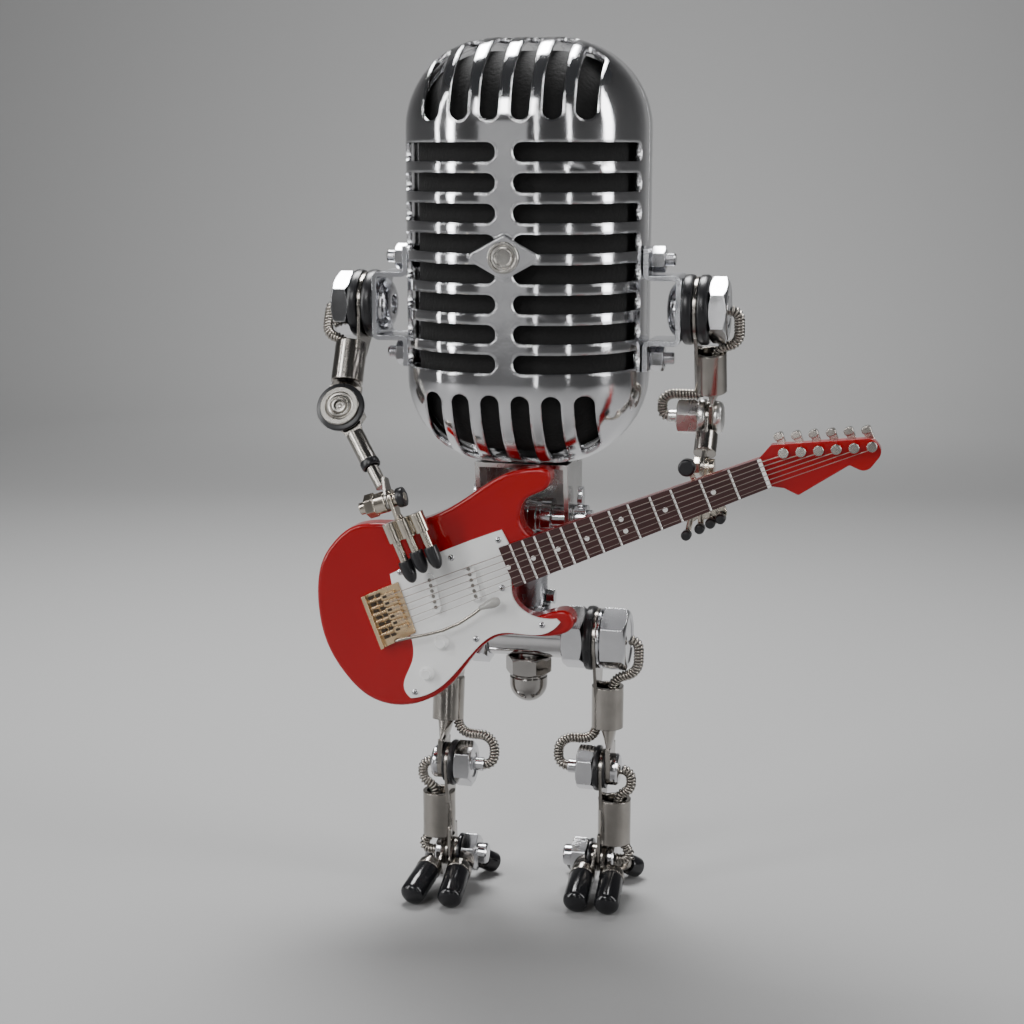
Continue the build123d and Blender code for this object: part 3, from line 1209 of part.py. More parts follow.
head_outline = (
    (scale_to_nut, board_half(scale_to_nut)), (88.5, 6.9), (116.4, -1.6), (118.4, -6.3), (111.3, -10.5),
    (107.6, -6.6), (90.6, -9.8), (87.5, -6.4), (scale_to_nut, -board_half(scale_to_nut)),
)

with BuildPart() as guitar_body:
    with BuildSketch(guitar) as slab:
        with BuildLine():
            Spline(*body_outline)
            Line(heel_upper, heel_lower)
        make_face()
    extrude(slab.sketch, amount=-guitar_body_thickness)
    rims = guitar_body.faces().filter_by(Axis.Y).edges().filter_by(GeomType.BSPLINE)
    fillet(rims, guitar_edge)
    with BuildSketch(Plane(at(0, guitar_front + guitar_body_thickness, 0), x_dir=(1, 0, 0),
                           z_dir=(0, -1, 0))) as carrier_bores:
        with Locations(*mount_points):
            Circle(mount_screw_radius + seated)
    extrude(carrier_bores.sketch, amount=mount_bite, mode=Mode.SUBTRACT)
keep(guitar_body.part, "guitar_body")

with BuildPart() as guitar_pickguard:
    with BuildSketch(guitar) as plate:
        with BuildLine():
            Spline(*guard_top)
            Polyline(guard_top[-1], (3.4, 6.0), guard_cutaway[0])
            Spline(*guard_cutaway)
            Line(guard_cutaway[-1], guard_foot[0])
            Spline(*guard_foot)
            Spline(*guard_left)
        make_face()
    extrude(plate.sketch, amount=guard_thickness)
    with BuildSketch(guitar) as board_room:
        with BuildLine():
            Polyline((-seated, board_half(0) + seated), (20, board_half(20) + seated),
                     (20, -board_half(20) - seated), (-seated, -board_half(0) - seated), close=True)
        make_face()
    extrude(board_room.sketch, amount=guard_thickness, mode=Mode.SUBTRACT)
    with BuildSketch(guitar) as bridge_room:
        Polygon(*bridge_outline, align=None)
        offset(amount=seated)
    extrude(bridge_room.sketch, amount=guard_thickness, mode=Mode.SUBTRACT)
keep(guitar_pickguard.part, "guitar_pickguard")

with BuildPart() as guitar_pickups:
    for middle, length, turn in pickups:
        with BuildSketch(guitar.offset(guard_thickness)) as bar:
            with Locations(middle):
                SlotOverall(length, pickup_width, rotation=turn)
        extrude(bar.sketch, amount=pickup_height)
keep(guitar_pickups.part, "guitar_pickups")

with BuildPart() as guitar_knobs:
    for middle in knobs:
        with BuildSketch(guitar.offset(guard_thickness)) as dial:
            with Locations(middle):
                Circle(knob_radius)
        extrude(dial.sketch, amount=knob_height)
keep(guitar_knobs.part, "guitar_knobs")

with BuildPart() as guitar_bridge:
    with BuildSketch(guitar) as plate:
        Polygon(*bridge_outline, align=None)
        with Locations(arm_pivot):
            Circle(arm_wire + running, mode=Mode.SUBTRACT)
    extrude(plate.sketch, amount=bridge_thickness)
    with BuildSketch(guitar.offset(bridge_thickness)) as saddles:
        with Locations((saddle_u, string_middle)):
            with GridLocations(1, string_spread / 5, 1, 6):
                Rectangle(*saddle_size)
    extrude(saddles.sketch, amount=saddle_height)
keep(guitar_bridge.part, "guitar_bridge")

with BuildPart() as guitar_neck:
    with BuildSketch(guitar) as wood:
        with BuildLine():
            Polyline(heel_upper, head_outline[0], head_outline[-1], heel_lower, close=True)
        make_face()
    extrude(wood.sketch, amount=-neck_thickness)
    back = guitar_neck.faces().sort_by(Axis.Y)[-1]
    long_edges = [edge for edge in back.edges() if edge.length > scale_to_nut * 0.6]
    fillet(long_edges, neck_thickness * 0.4)
    with BuildSketch(guitar.offset(-headstock_set_back)) as paddle:
        with BuildLine():
            Polyline(*head_outline, close=True)
        make_face()
        corners = paddle.vertices().sort_by(Axis.X)[2:-3]
        fillet(corners, 0.9)
        tip_corners = paddle.vertices().sort_by(Axis.X)[-3:]
        fillet(tip_corners, headstock_tip_round)
    extrude(paddle.sketch, amount=-headstock_thickness)
    with BuildSketch(guitar.offset(-headstock_set_back)) as post_holes:
        with Locations(*tuner_places):
            Circle(post_radius + seated)
    extrude(post_holes.sketch, amount=-headstock_thickness, mode=Mode.SUBTRACT)
keep(guitar_neck.part, "guitar_neck")

with BuildPart() as guitar_fretboard:
    with BuildSketch(guitar) as board:
        with BuildLine():
            Polyline((0, board_half(0)), (scale_to_nut, board_half(scale_to_nut)),
                     (scale_to_nut, -board_half(scale_to_nut)), (0, -board_half(0)), close=True)
        make_face()
    extrude(board.sketch, amount=board_thickness)
keep(guitar_fretboard.part, "guitar_fretboard")

with BuildPart() as guitar_tuners:
    head_back = -headstock_set_back - headstock_thickness
    for post_u, post_v in tuner_places:
        with BuildSketch(guitar.offset(head_back)) as post:
            with Locations((post_u, post_v)):
                Circle(post_radius)
        extrude(post.sketch, amount=headstock_thickness + post_height)
        with BuildSketch(guitar.offset(-headstock_set_back + post_height)) as cap:
            with Locations((post_u, post_v)):
                Circle(post_cap_radius)
        extrude(cap.sketch, amount=post_cap)
        with BuildSketch(guitar.offset(head_back)) as housing:
            with Locations((post_u + button_lean / 2, post_v + button_reach / 2 - 0.5)):
                Rectangle(tuner_case[0], button_reach)
        extrude(housing.sketch, amount=-tuner_case[1])
        with BuildSketch(guitar.offset(head_back + button_size * 0.6)) as button:
            with Locations((post_u + button_lean, post_v + button_reach)):
                RectangleRounded(2 * button_size, button_width, 0.9)
        extrude(button.sketch, amount=-2 * button_size)
keep(guitar_tuners.part, "guitar_tuners")

with BuildPart() as tremolo_arm:
    pivot_u, pivot_v = arm_pivot
    tip_u, tip_v = arm_tip
    corner = guitar.from_local_coords((pivot_u, pivot_v, arm_rise))
    tip_start = guitar.from_local_coords((tip_u, tip_v, arm_rise))
    wire([guitar.from_local_coords((pivot_u, pivot_v, side_play)), corner, tip_start], [1.6], arm_wire)
    away = (tip_start - corner).normalized()
    rod(tip_start, tip_start + away * paddle_length, paddle_radius)
keep(tremolo_arm.part, "tremolo_arm")

with BuildPart() as guitar_screws:
    for screw_x, screw_z in mount_points:
        axis = Plane(at(screw_x, -neck_depth / 2, screw_z), x_dir=(1, 0, 0), z_dir=(0, -1, 0))
        spacer = -guitar_front - guitar_body_thickness - neck_depth / 2
        puck(axis, -neck_sheet - 1.6, 2 * mount_screw_radius, 1.6)
        puck(axis, -neck_sheet, mount_screw_radius, neck_sheet + spacer + mount_bite - 0.2)
        puck(axis, 0, mount_spacer_radius, spacer, mount_screw_radius + seated)
keep(guitar_screws.part, "guitar_screws")
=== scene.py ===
import math
import bmesh
import bpy
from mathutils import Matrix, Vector


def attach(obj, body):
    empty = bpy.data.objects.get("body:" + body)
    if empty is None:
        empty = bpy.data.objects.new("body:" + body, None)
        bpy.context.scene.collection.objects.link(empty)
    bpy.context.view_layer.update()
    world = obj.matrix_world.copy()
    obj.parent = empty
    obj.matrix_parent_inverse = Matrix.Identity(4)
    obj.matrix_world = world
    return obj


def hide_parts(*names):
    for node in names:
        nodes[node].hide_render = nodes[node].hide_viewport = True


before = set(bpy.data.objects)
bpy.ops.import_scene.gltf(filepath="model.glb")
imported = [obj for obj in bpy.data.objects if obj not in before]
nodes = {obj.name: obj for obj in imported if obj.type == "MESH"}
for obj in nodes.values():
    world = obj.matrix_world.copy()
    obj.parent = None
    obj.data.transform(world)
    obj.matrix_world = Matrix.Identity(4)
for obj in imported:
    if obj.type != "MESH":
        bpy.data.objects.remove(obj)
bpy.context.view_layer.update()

MM = 0.001


# --- camera: a little above the neck, to the right of the lamp's front ---
# A long lens half a metre away keeps the lamp's uprights nearly parallel.
camera = bpy.data.objects.new("camera", bpy.data.cameras.new("camera"))
bpy.context.collection.objects.link(camera)
camera.data.lens = 63.3
camera.data.sensor_width = 36.0
camera.data.clip_start = 0.01
camera.location = (0.099806, -0.547226, 0.236)
camera.rotation_euler = (math.radians(90 - 11.26), 0, math.radians(13.052))
bpy.context.scene.camera = camera

# --- studio: pale floor that curves up into a round backdrop, and soft lights ---
# Painted board, matt, seen only as the ground under the lamp and the grey behind it.
flat_reach, curve_size, wall_height = 1.15, 0.65, 1.1
rim = [(0.02, 0.0), (0.3, 0.0), (0.7, 0.0), (flat_reach, 0.0)]
for step in range(1, 13):
    turn = math.radians(90 * step / 12)
    rim.append((flat_reach + curve_size * math.sin(turn), curve_size * (1 - math.cos(turn))))
rim.append((flat_reach + curve_size, curve_size + wall_height))
floor_mesh = bmesh.new()
rings = []
for radius, height in rim:
    rings.append([floor_mesh.verts.new((radius * math.cos(math.tau * k / 96),
                                        radius * math.sin(math.tau * k / 96), height)) for k in range(96)])
floor_mesh.faces.new(rings[0])
for low, high in zip(rings, rings[1:]):
    for k in range(96):
        floor_mesh.faces.new((low[k], high[k], high[(k + 1) % 96], low[(k + 1) % 96]))
floor_data = bpy.data.meshes.new("studio_floor")
floor_mesh.to_mesh(floor_data)
floor_mesh.free()
floor_data.polygons.foreach_set("use_smooth", [True] * len(floor_data.polygons))
studio_floor = bpy.data.objects.new("studio_floor", floor_data)
bpy.context.collection.objects.link(studio_floor)
board = bpy.data.materials.new("painted_board")
board.use_nodes = True
board_paint = board.node_tree.nodes["Principled BSDF"]
board_paint.inputs["Base Color"].default_value = (0.30, 0.30, 0.30, 1)
board_paint.inputs["Roughness"].default_value = 0.7
board_paint.inputs["Specular IOR Level"].default_value = 0.25
floor_data.materials.append(board)

world = bpy.data.worlds.new("studio_air")
bpy.context.scene.world = world
world.use_nodes = True
world.node_tree.nodes["Background"].inputs["Color"].default_value = (0.92, 0.95, 1.0, 1)
world.node_tree.nodes["Background"].inputs["Strength"].default_value = 0.05


def soft_light(name, place, aim, size, power, tint=(1, 1, 1)):
    """Rectangular soft box turned towards a point."""
    box = bpy.data.lights.new(name, "AREA")
    box.shape = "RECTANGLE"
    box.size, box.size_y = size
    box.energy = power
    box.color = tint
    lamp = bpy.data.objects.new(name, box)
    bpy.context.collection.objects.link(lamp)
    lamp.location = place
    lamp.rotation_euler = (Vector(aim) - Vector(place)).to_track_quat("-Z", "Y").to_euler()


soft_light("overhead", (-0.12, 0.24, 0.66), (-0.11, 0.20, 0.0), (0.36, 0.32), 9.0)
soft_light("front_box", (-0.25, -0.95, 0.75), (0, 0, 0.18), (0.34, 0.34), 3.4)
soft_light("front_card", (-0.29, -1.05, 0.24), (-0.02, 0, 0.2), (0.17, 0.34), 0.07)
soft_light("thin_strip", (-0.045, -1.05, 0.30), (-0.02, 0, 0.2), (0.03, 0.8), 0.45)
soft_light("left_box", (-0.75, -0.60, 0.50), (0, 0, 0.15), (0.14, 0.9), 5.0)
soft_light("left_strip", (-0.98, -0.36, 0.45), (0, 0, 0.15), (0.05, 0.9), 1.6)
soft_light("right_box", (0.80, -0.10, 0.50), (0, 0, 0.15), (0.20, 0.9), 5.0)
soft_light("right_strip", (0.55, -0.80, 0.40), (0, 0, 0.18), (0.04, 0.7), 0.7)
soft_light("back_wash", (-0.15, 0.95, 0.55), (-0.30, 1.75, 0.16), (0.4, 0.25), 6.0)


# --- head shells: front and rear halves pressed with slots, one boss each ---
# Thin die-cast metal, polished and plated. They meet on an upright seam and are drawn together by the
# screws of the shoulder straps.
def add_node(tree, kind, inputs=(), **modes):
    """Adds a node. An input takes a constant, another node's output, or a list of outputs."""
    node = tree.nodes.new(kind)
    for mode, value in modes.items():
        setattr(node, mode, value)
    for label, value in dict(inputs).items():
        for item in value if isinstance(value, list) else [value]:
            if isinstance(item, bpy.types.NodeSocket):
                tree.links.new(item, node.inputs[label])
            else:
                node.inputs[label].default_value = item
    return node


def blank_material(name):
    """New material, with its tree, its shader and its object coordinates."""
    stuff = bpy.data.materials.new(name)
    stuff.use_nodes = True
    tree = stuff.node_tree
    place = tree.nodes.new("ShaderNodeTexCoord").outputs["Object"]
    return stuff, tree, tree.nodes["Principled BSDF"], place


def noise(tree, place, scale, **more):
    """Soft noise at a scale, as a share from 0 to 1."""
    return add_node(tree, "ShaderNodeTexNoise", {"Vector": place, "Scale": scale, **more}).outputs["Fac"]


def two_tones(tree, shader, share, colour, second):
    """Base colour that wanders between two tones."""
    tones = add_node(tree, "ShaderNodeMix", {"A": (*colour, 1), "B": (*second, 1), "Factor": share},
                     data_type="RGBA")
    tree.links.new(tones.outputs["Result"], shader.inputs["Base Color"])


def uneven_gloss(tree, shader, share, low, high, start=0.0, end=1.0):
    """Roughness that wanders between two values."""
    worn = add_node(tree, "ShaderNodeMapRange", {"Value": share, "From Min": start, "From Max": end,
                                                 "To Min": low, "To Max": high})
    tree.links.new(worn.outputs["Result"], shader.inputs["Roughness"])


def fine_relief(tree, shader, height, strength, depth, edge=None):
    """Relief in the normal, over edges eased by a radius where one is given."""
    inputs = {"Strength": strength, "Distance": depth, "Height": height}
    if edge:
        inputs["Normal"] = add_node(tree, "ShaderNodeBevel", {"Radius": edge}, samples=4).outputs["Normal"]
    bump = add_node(tree, "ShaderNodeBump", inputs)
    tree.links.new(bump.outputs["Normal"], shader.inputs["Normal"])


def worked_metal(name, colour, second, gloss, dull, edge, grain=900.0, relief=0.00002, clouding=90.0):
    """Plated or bare metal: two near tones, uneven polish, faint tooling and eased edges."""
    metal, tree, shader, place = blank_material(name)
    shader.inputs["Metallic"].default_value = 1.0
    clouds = noise(tree, place, clouding, Detail=4.0, Roughness=0.6)
    marks = noise(tree, place, grain, Detail=3.0)
    two_tones(tree, shader, clouds, colour, second)
    uneven_gloss(tree, shader, clouds, gloss, dull, 0.3, 0.7)
    fine_relief(tree, shader, marks, 0.5, relief, edge)
    return metal


def finish_node(node, material):
    """Gives a frame node its finish."""
    mesh = nodes[node].data
    mesh.materials.clear()
    mesh.materials.append(material)


head_plating = worked_metal("head_plating", (0.80, 0.80, 0.81), (0.56, 0.56, 0.58), 0.05, 0.15, 0.0014,
                            170.0, 0.00007, 60.0)
finish_node("head_front_shell", head_plating)
finish_node("head_rear_shell", head_plating)


# --- grille liner: a sheet of open-cell foam behind all the slots ---
# Black polyurethane foam, cut to the shells and held by their curve and by the screw heads.
def soft_black(name, colour, rough, cells, depth):
    """Foam, rubber or moulded plastic with a cell or moulding texture."""
    worn_light, gloss_spread = 2.2, 0.08
    stuff, tree, shader, place = blank_material(name)
    texture = noise(tree, place, cells, Detail=5.0)
    two_tones(tree, shader, texture, colour, [c * worn_light for c in colour])
    uneven_gloss(tree, shader, texture, rough - gloss_spread, rough + gloss_spread)
    fine_relief(tree, shader, texture, 0.7, depth)
    return stuff


foam = soft_black("black_foam", (0.004, 0.004, 0.004), 0.9, 900.0, 0.0004)
finish_node("grille_liner", foam)

# --- lamp holder and bulb, inside the head ---
# Moulded holder screwed to the floor of the shells, with an opal LED bulb screwed into it.
moulded_black = soft_black("moulded_black", (0.012, 0.012, 0.013), 0.45, 400.0, 0.00003)
finish_node("bulb_holder", moulded_black)
opal, opal_tree, opal_shader, opal_place = blank_material("opal_cover")
two_tones(opal_tree, opal_shader, noise(opal_tree, opal_place, 60.0), (0.86, 0.86, 0.83), (0.92, 0.92, 0.90))
opal_shader.inputs["Roughness"].default_value = 0.35
finish_node("led_bulb", opal)

# --- lead inlet: rubber bush in the rear boss ---
# Moulded rubber, pushed into its hole; the lead goes in here.
rubber = soft_black("black_rubber", (0.008, 0.008, 0.009), 0.30, 500.0, 0.00002)
finish_node("cord_inlet", rubber)

# --- shoulder straps and neck bracket: folded strips of sheet ---
# Zinc-plated steel. The straps are hat shaped and screwed to both shells above and below each shoulder;
# the bracket hangs from two screws under the head and carries the tilt bolt.
zinc = worked_metal("zinc_plate", (0.80, 0.81, 0.84), (0.62, 0.63, 0.66), 0.12, 0.30, 0.0003)
finish_node("shoulder_brackets", zinc)
bracket_steel = worked_metal("bracket_steel", (0.80, 0.79, 0.77), (0.60, 0.59, 0.57), 0.16, 0.34, 0.0003)
finish_node("neck_yoke", bracket_steel)

# --- strap screws: machine screws from inside the shells, with a hexagon nut on each end ---
# Zinc-plated M4 screws and plain nuts, two to each strap, and two more up through the neck bracket.
def hex_reach(turn, apothem):
    """Distance from a hexagon's middle to its edge; a corner lies at turn 0."""
    return apothem / math.cos(turn % (math.pi / 3) - math.pi / 6)


UP, RIGHT = (0, 0, 1), (1, 0, 0)
chamfer_foot = 0.97  # a chamfer's inner circle, as a share of half the flats
chamfer_slope = 0.577  # its fall for each millimetre outwards, 30 degrees


def turned(mesh, start, axis, across, rings):
    """Solid of revolution about an axis, in millimetres.

    A ring is (radius, along), or (None, along, apothem, eased) on a hexagon.
    """
    axis = Vector(axis).normalized()
    across = (Vector(across) - axis * Vector(across).dot(axis)).normalized()
    third = axis.cross(across)
    count = 48
    loops = []
    for ring in rings:
        loop = []
        if ring[0] is not None and ring[0] < 0.001:
            loop = [mesh.verts.new((Vector(start) + axis * ring[1]) * MM)] * count
        else:
            for k in range(count):
                turn = math.tau * k / count
                radius, along = ring[0], ring[1]
                if radius is None:
                    radius = hex_reach(turn, ring[2])
                    along += ring[3] * (radius - ring[2] * chamfer_foot) * chamfer_slope
                out = across * math.cos(turn) + third * math.sin(turn)
                loop.append(mesh.verts.new((Vector(start) + axis * along + out * radius) * MM))
        loops.append(loop)
    for low, high in zip(loops, loops[1:]):
        for k in range(count):
            corners = []
            for vertex in (low[k], low[(k + 1) % count], high[(k + 1) % count], high[k]):
                if vertex not in corners:
                    corners.append(vertex)
            if len(corners) > 2:
                mesh.faces.new(corners)


def hexagon_nut(mesh, start, axis, across, flats, height, hole):
    """Nut with both faces chamfered and a countersunk hole."""
    half = flats / 2
    sink = min(0.6, height * 0.15)
    turned(mesh, start, axis, across,
           [(hole, sink), (hole + sink, 0.0), (half * chamfer_foot, 0.0), (None, 0.0, half, 1.0),
            (None, height, half, -1.0), (half * chamfer_foot, height), (hole + sink, height),
            (hole, height - sink), (hole, sink)])


def hexagon_head(mesh, start, axis, across, flats, height):
    """Bolt head: washer face under it, chamfered outer end with a shallow dished top."""
    half = flats / 2
    turned(mesh, start, axis, across,
           [(0.0, 0.0), (half * chamfer_foot, 0.0), (None, 0.35, half, 0.2), (None, height, half, -1.0),
            (half * chamfer_foot, height), (half * 0.86, height), (half * 0.82, height - 0.35),
            (0.0, height - 0.35)])


def threaded_end(mesh, start, axis, across, radius, length, pitch):
    """Bolt shank showing its thread as fine rings, with a chamfered tip."""
    rings = [(0.0, 0.0), (radius - 0.2, 0.0)]
    run = length - 0.4
    turns = max(1, int(run / pitch))
    for turn in range(turns):
        foot = 0.1 + turn * run / turns
        step = run / turns
        rings += [(radius - pitch * 0.3, foot), (radius, foot + step * 0.35), (radius, foot + step * 0.6)]
    rings += [(radius - pitch * 0.3, length - 0.3), (radius - pitch * 0.55, length), (0.0, length)]
    turned(mesh, start, axis, across, rings)


def rod(mesh, start, axis, across, radius, foot, end):
    """Plain cylinder between two distances along the axis."""
    turned(mesh, start, axis, across, [(0.0, foot), (radius, foot), (radius, end), (0.0, end)])


def stub_end(mesh, start, axis, across, radius, length, ease):
    """Bolt's end, chamfered at its start."""
    turned(mesh, start, axis, across,
           [(0.0, 0.0), (radius - ease, 0.0), (radius, ease), (radius, length), (0.0, length)])


def round_head(mesh, start, axis, across, radius, height, ease):
    """Plain disc or head with eased rims."""
    turned(mesh, start, axis, across,
           [(0.0, 0.0), (radius - ease, 0.0), (radius, ease), (radius, height - ease),
            (radius - ease, height), (0.0, height)])


def rolled_washer(mesh, start, axis, across, outer, inner, height, ease):
    """Ring with softened edges."""
    turned(mesh, start, axis, across,
           [(inner, 0.0), (outer - ease, 0.0), (outer - ease * 0.3, ease * 0.3), (outer, ease),
            (outer, height - ease), (outer - ease * 0.3, height - ease * 0.3), (outer - ease, height),
            (inner, height), (inner, 0.0)])


def linked(name, data, body, node):
    """Links a mesh as a piece that rides on a body and, where one is named, stands for a node."""
    piece = bpy.data.objects.new(name, data)
    bpy.context.collection.objects.link(piece)
    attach(piece, body)
    if node:
        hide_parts(node)


def finished(name, mesh, material, body, node, sharp=32):
    """Turns built geometry into a piece; edges sharper than an angle stay crisp."""
    bmesh.ops.recalc_face_normals(mesh, faces=mesh.faces)
    data = bpy.data.meshes.new(name)
    mesh.to_mesh(data)
    mesh.free()
    data.polygons.foreach_set("use_smooth", [True] * len(data.polygons))
    data.set_sharp_from_angle(angle=math.radians(sharp))
    data.materials.append(material)
    linked(name, data, body, node)


bolt_plate = worked_metal("bolt_plate", (0.78, 0.78, 0.79), (0.50, 0.50, 0.52), 0.06, 0.18, 0.0004, 120.0,
                          0.00005)
mid_y = -0.5  # middle plane of the head, the shoulders and the hips
screws = bmesh.new()
for side, inside, strap_face in ((1, 11.4, 16.9), (-1, -54.2, -59.7)):
    for height in (204.5, 174.5):
        out = (side, 0, 0)
        round_head(screws, (inside, mid_y, height), out, UP, 3.8, 2.35, 0.5)
        threaded_end(screws, (inside + side * 2.4, mid_y, height), out, UP, 2.0, 10.3, 0.7)
        hexagon_nut(screws, (strap_face, mid_y, height), out, UP, 7.0, 4.2, 2.02)
for across in (-16.9, -25.9):
    round_head(screws, (across, mid_y, 138.5), UP, RIGHT, 3.8, 2.0, 0.6)
    threaded_end(screws, (across, mid_y, 140.5), UP, RIGHT, 2.0, 7.1, 0.7)
finished("strap_screws", screws, bolt_plate, "head", "bracket_screws")

# --- badge: plain bright disc on the front boss ---
# A turned disc pressed into the boss: raised rim, sunk ring and a bare middle with no mark.
badge_metal = worked_metal("badge_metal", (0.72, 0.70, 0.66), (0.48, 0.46, 0.43), 0.14, 0.28, 0.0002, 300.0,
                           0.00005)
badge = bmesh.new()
turned(badge, (-21.38, -35.8, 206.4), (0, -1, 0), RIGHT,
       [(0.0, 0.0), (4.7, 0.0), (4.7, 0.75), (4.45, 1.0), (3.85, 1.0), (3.6, 0.45), (3.05, 0.4),
        (2.85, 0.85), (2.5, 0.9), (2.3, 0.6), (0.0, 0.45)])
finished("badge_disc", badge, badge_metal, "head", "badge")

# --- shoulder joints: button-head bolt inside the strap, hexagon nut on its outer end ---
# M12 socket button bolts in bright zinc plate, with a rubber washer on each side of the arm's ring.
shoulder = (mid_y, 189.5)
m12_flats = 17.6
bolts = bmesh.new()
for side, seat, nut in ((1, 22.2, 34.9), (-1, -65.0, -77.7)):
    out = (side, 0, 0)
    turned(bolts, (seat, *shoulder), out, UP,
           [(0.0, 1.9), (2.95, 1.9), (3.1, 0.1), (3.5, 0.0), (5.2, 0.12), (6.6, 0.7), (7.6, 1.5), (8.1, 2.3),
            (8.3, 2.9), (8.15, 3.2), (0.0, 3.2)])
    rod(bolts, (seat + side * 3.2, *shoulder), out, UP, 5.0, 0.0, 9.6)
    hexagon_nut(bolts, (nut, *shoulder), out, UP, m12_flats, 5.6, 4.9)
    threaded_end(bolts, (nut - side * 0.1, *shoulder), out, UP, 4.85, 5.65, 1.1)
finished("shoulder_fasteners", bolts, bolt_plate, "head", "shoulder_bolts")

washers = bmesh.new()
for side, faces in ((1, ((26.9, 3.4), (31.7, 3.2))), (-1, ((-69.7, 3.4), (-74.5, 3.2)))):
    for face, thick in faces:
        rolled_washer(washers, (face, *shoulder), (side, 0, 0), UP, 10.7, 5.05, thick, 0.9)
finished("shoulder_rubbers", washers, rubber, "head", "shoulder_washers")

# --- swivel hub, tilt bolt and wing nuts ---
# Turned ringed hub on the tilt bolt, so the head nods on the spine; the wing nuts clamp it by hand. The
# guitar's stand-off screws on the neck bracket are zinc plated.
finish_node("swivel_hub", bolt_plate)
finish_node("tilt_bolt", bolt_plate)
finish_node("torso_fasteners", bolt_plate)
finish_node("guitar_screws", zinc)

# --- spine: short tube with a collar at its foot ---
# Steel tube, darker plate than the fasteners, with a hexagon set screw in the collar.
spine_plate = worked_metal("spine_plate", (0.42, 0.42, 0.43), (0.28, 0.28, 0.30), 0.15, 0.34, 0.0003)
finish_node("spine_tube", spine_plate)

# --- hips: polished cross tube, and the waist bolt with its dome nut under it ---
# Chrome-plated tube; the M8 waist bolt runs up through it into the spine and ends in an acorn nut.
chrome = worked_metal("bright_chrome", (0.78, 0.77, 0.77), (0.58, 0.57, 0.57), 0.04, 0.13, 0.0003, 260.0,
                      0.00003)
finish_node("hip_tube", chrome)
acorn = bmesh.new()
acorn_plate = worked_metal("acorn_plate", (0.46, 0.44, 0.42), (0.26, 0.25, 0.24), 0.05, 0.14, 0.0004, 200.0,
                           0.00009)
waist = (-21.4, mid_y, 71.968)
rod(acorn, waist, UP, RIGHT, 4.0, 3.0, 31.8)
half_flats, dome_radius = 6.5, 6.1
dome = [(0.0, -9.5)]
for step in range(1, 11):
    turn = math.radians(9 * step)
    dome.append((dome_radius * math.sin(turn), -3.4 - dome_radius * math.cos(turn)))
dome += [(dome_radius, -1.2), (5.7, -0.9), (5.9, -0.3), (half_flats * chamfer_foot, 0.0),
         (None, 0.0, half_flats, 1.0), (None, 5.6, half_flats, -1.0), (half_flats * chamfer_foot, 5.6),
         (4.1, 5.6), (4.1, 3.0), (0.0, 3.0)]
turned(acorn, waist, UP, RIGHT, dome)
finished("waist_fastener", acorn, acorn_plate, "pelvis", "waist_bolt")

# --- hip joints: hexagon bolts into the cross tube's ends, a nut against each end ---
# M12 bolts, bright plate. Going out: nut, rubber washer, the thigh's ring, thin steel washer, bolt head.
hip = (mid_y, 84.568)
hip_screws = bmesh.new()
for side, thread_foot, nut, head in ((1, -16.6, -9.4, 2.8), (-1, -26.2, -33.4, -45.6)):
    out = (side, 0, 0)
    rod(hip_screws, (thread_foot, *hip), out, UP, 6.0, 0.0, 19.4)
    hexagon_nut(hip_screws, (nut, *hip), out, UP, m12_flats, 7.1, 6.02)
    hexagon_head(hip_screws, (head, *hip), out, UP, m12_flats, 8.5)
finished("hip_fasteners", hip_screws, bolt_plate, "pelvis", "hip_bolts")

hip_rings = bmesh.new()
for side, pad in ((1, -2.3), (-1, -40.5)):
    rolled_washer(hip_rings, (pad, *hip), (side, 0, 0), UP, 10.3, 6.05, 3.0, 0.9)
finished("hip_rubbers", hip_rings, rubber, "pelvis", "hip_washers")
hip_shims = bmesh.new()
for side, thin in ((1, 2.0), (-1, -44.8)):
    rolled_washer(hip_shims, (thin, *hip), (side, 0, 0), UP, 9.6, 6.05, 0.8, 0.15)
finished("hip_steel_washers", hip_shims, bolt_plate, "pelvis", None)

# --- legs: pressed tube lugs joined by bolts ---
# Tin-plated cable lugs, drawn from tube and flattened at the ends; satin, with darker tooling marks.
lug_tin = worked_metal("lug_tin", (0.50, 0.47, 0.435), (0.22, 0.205, 0.185), 0.12, 0.26, 0.0006, 260.0,
                       0.00007)
DOWN = (0, 0, -1)
foot_rise = {"right": 10.768, "left": 11.243}
leg_y = {"right": -0.5, "left": -6.9}
knee_z = {"right": 41.268, "left": 41.743}
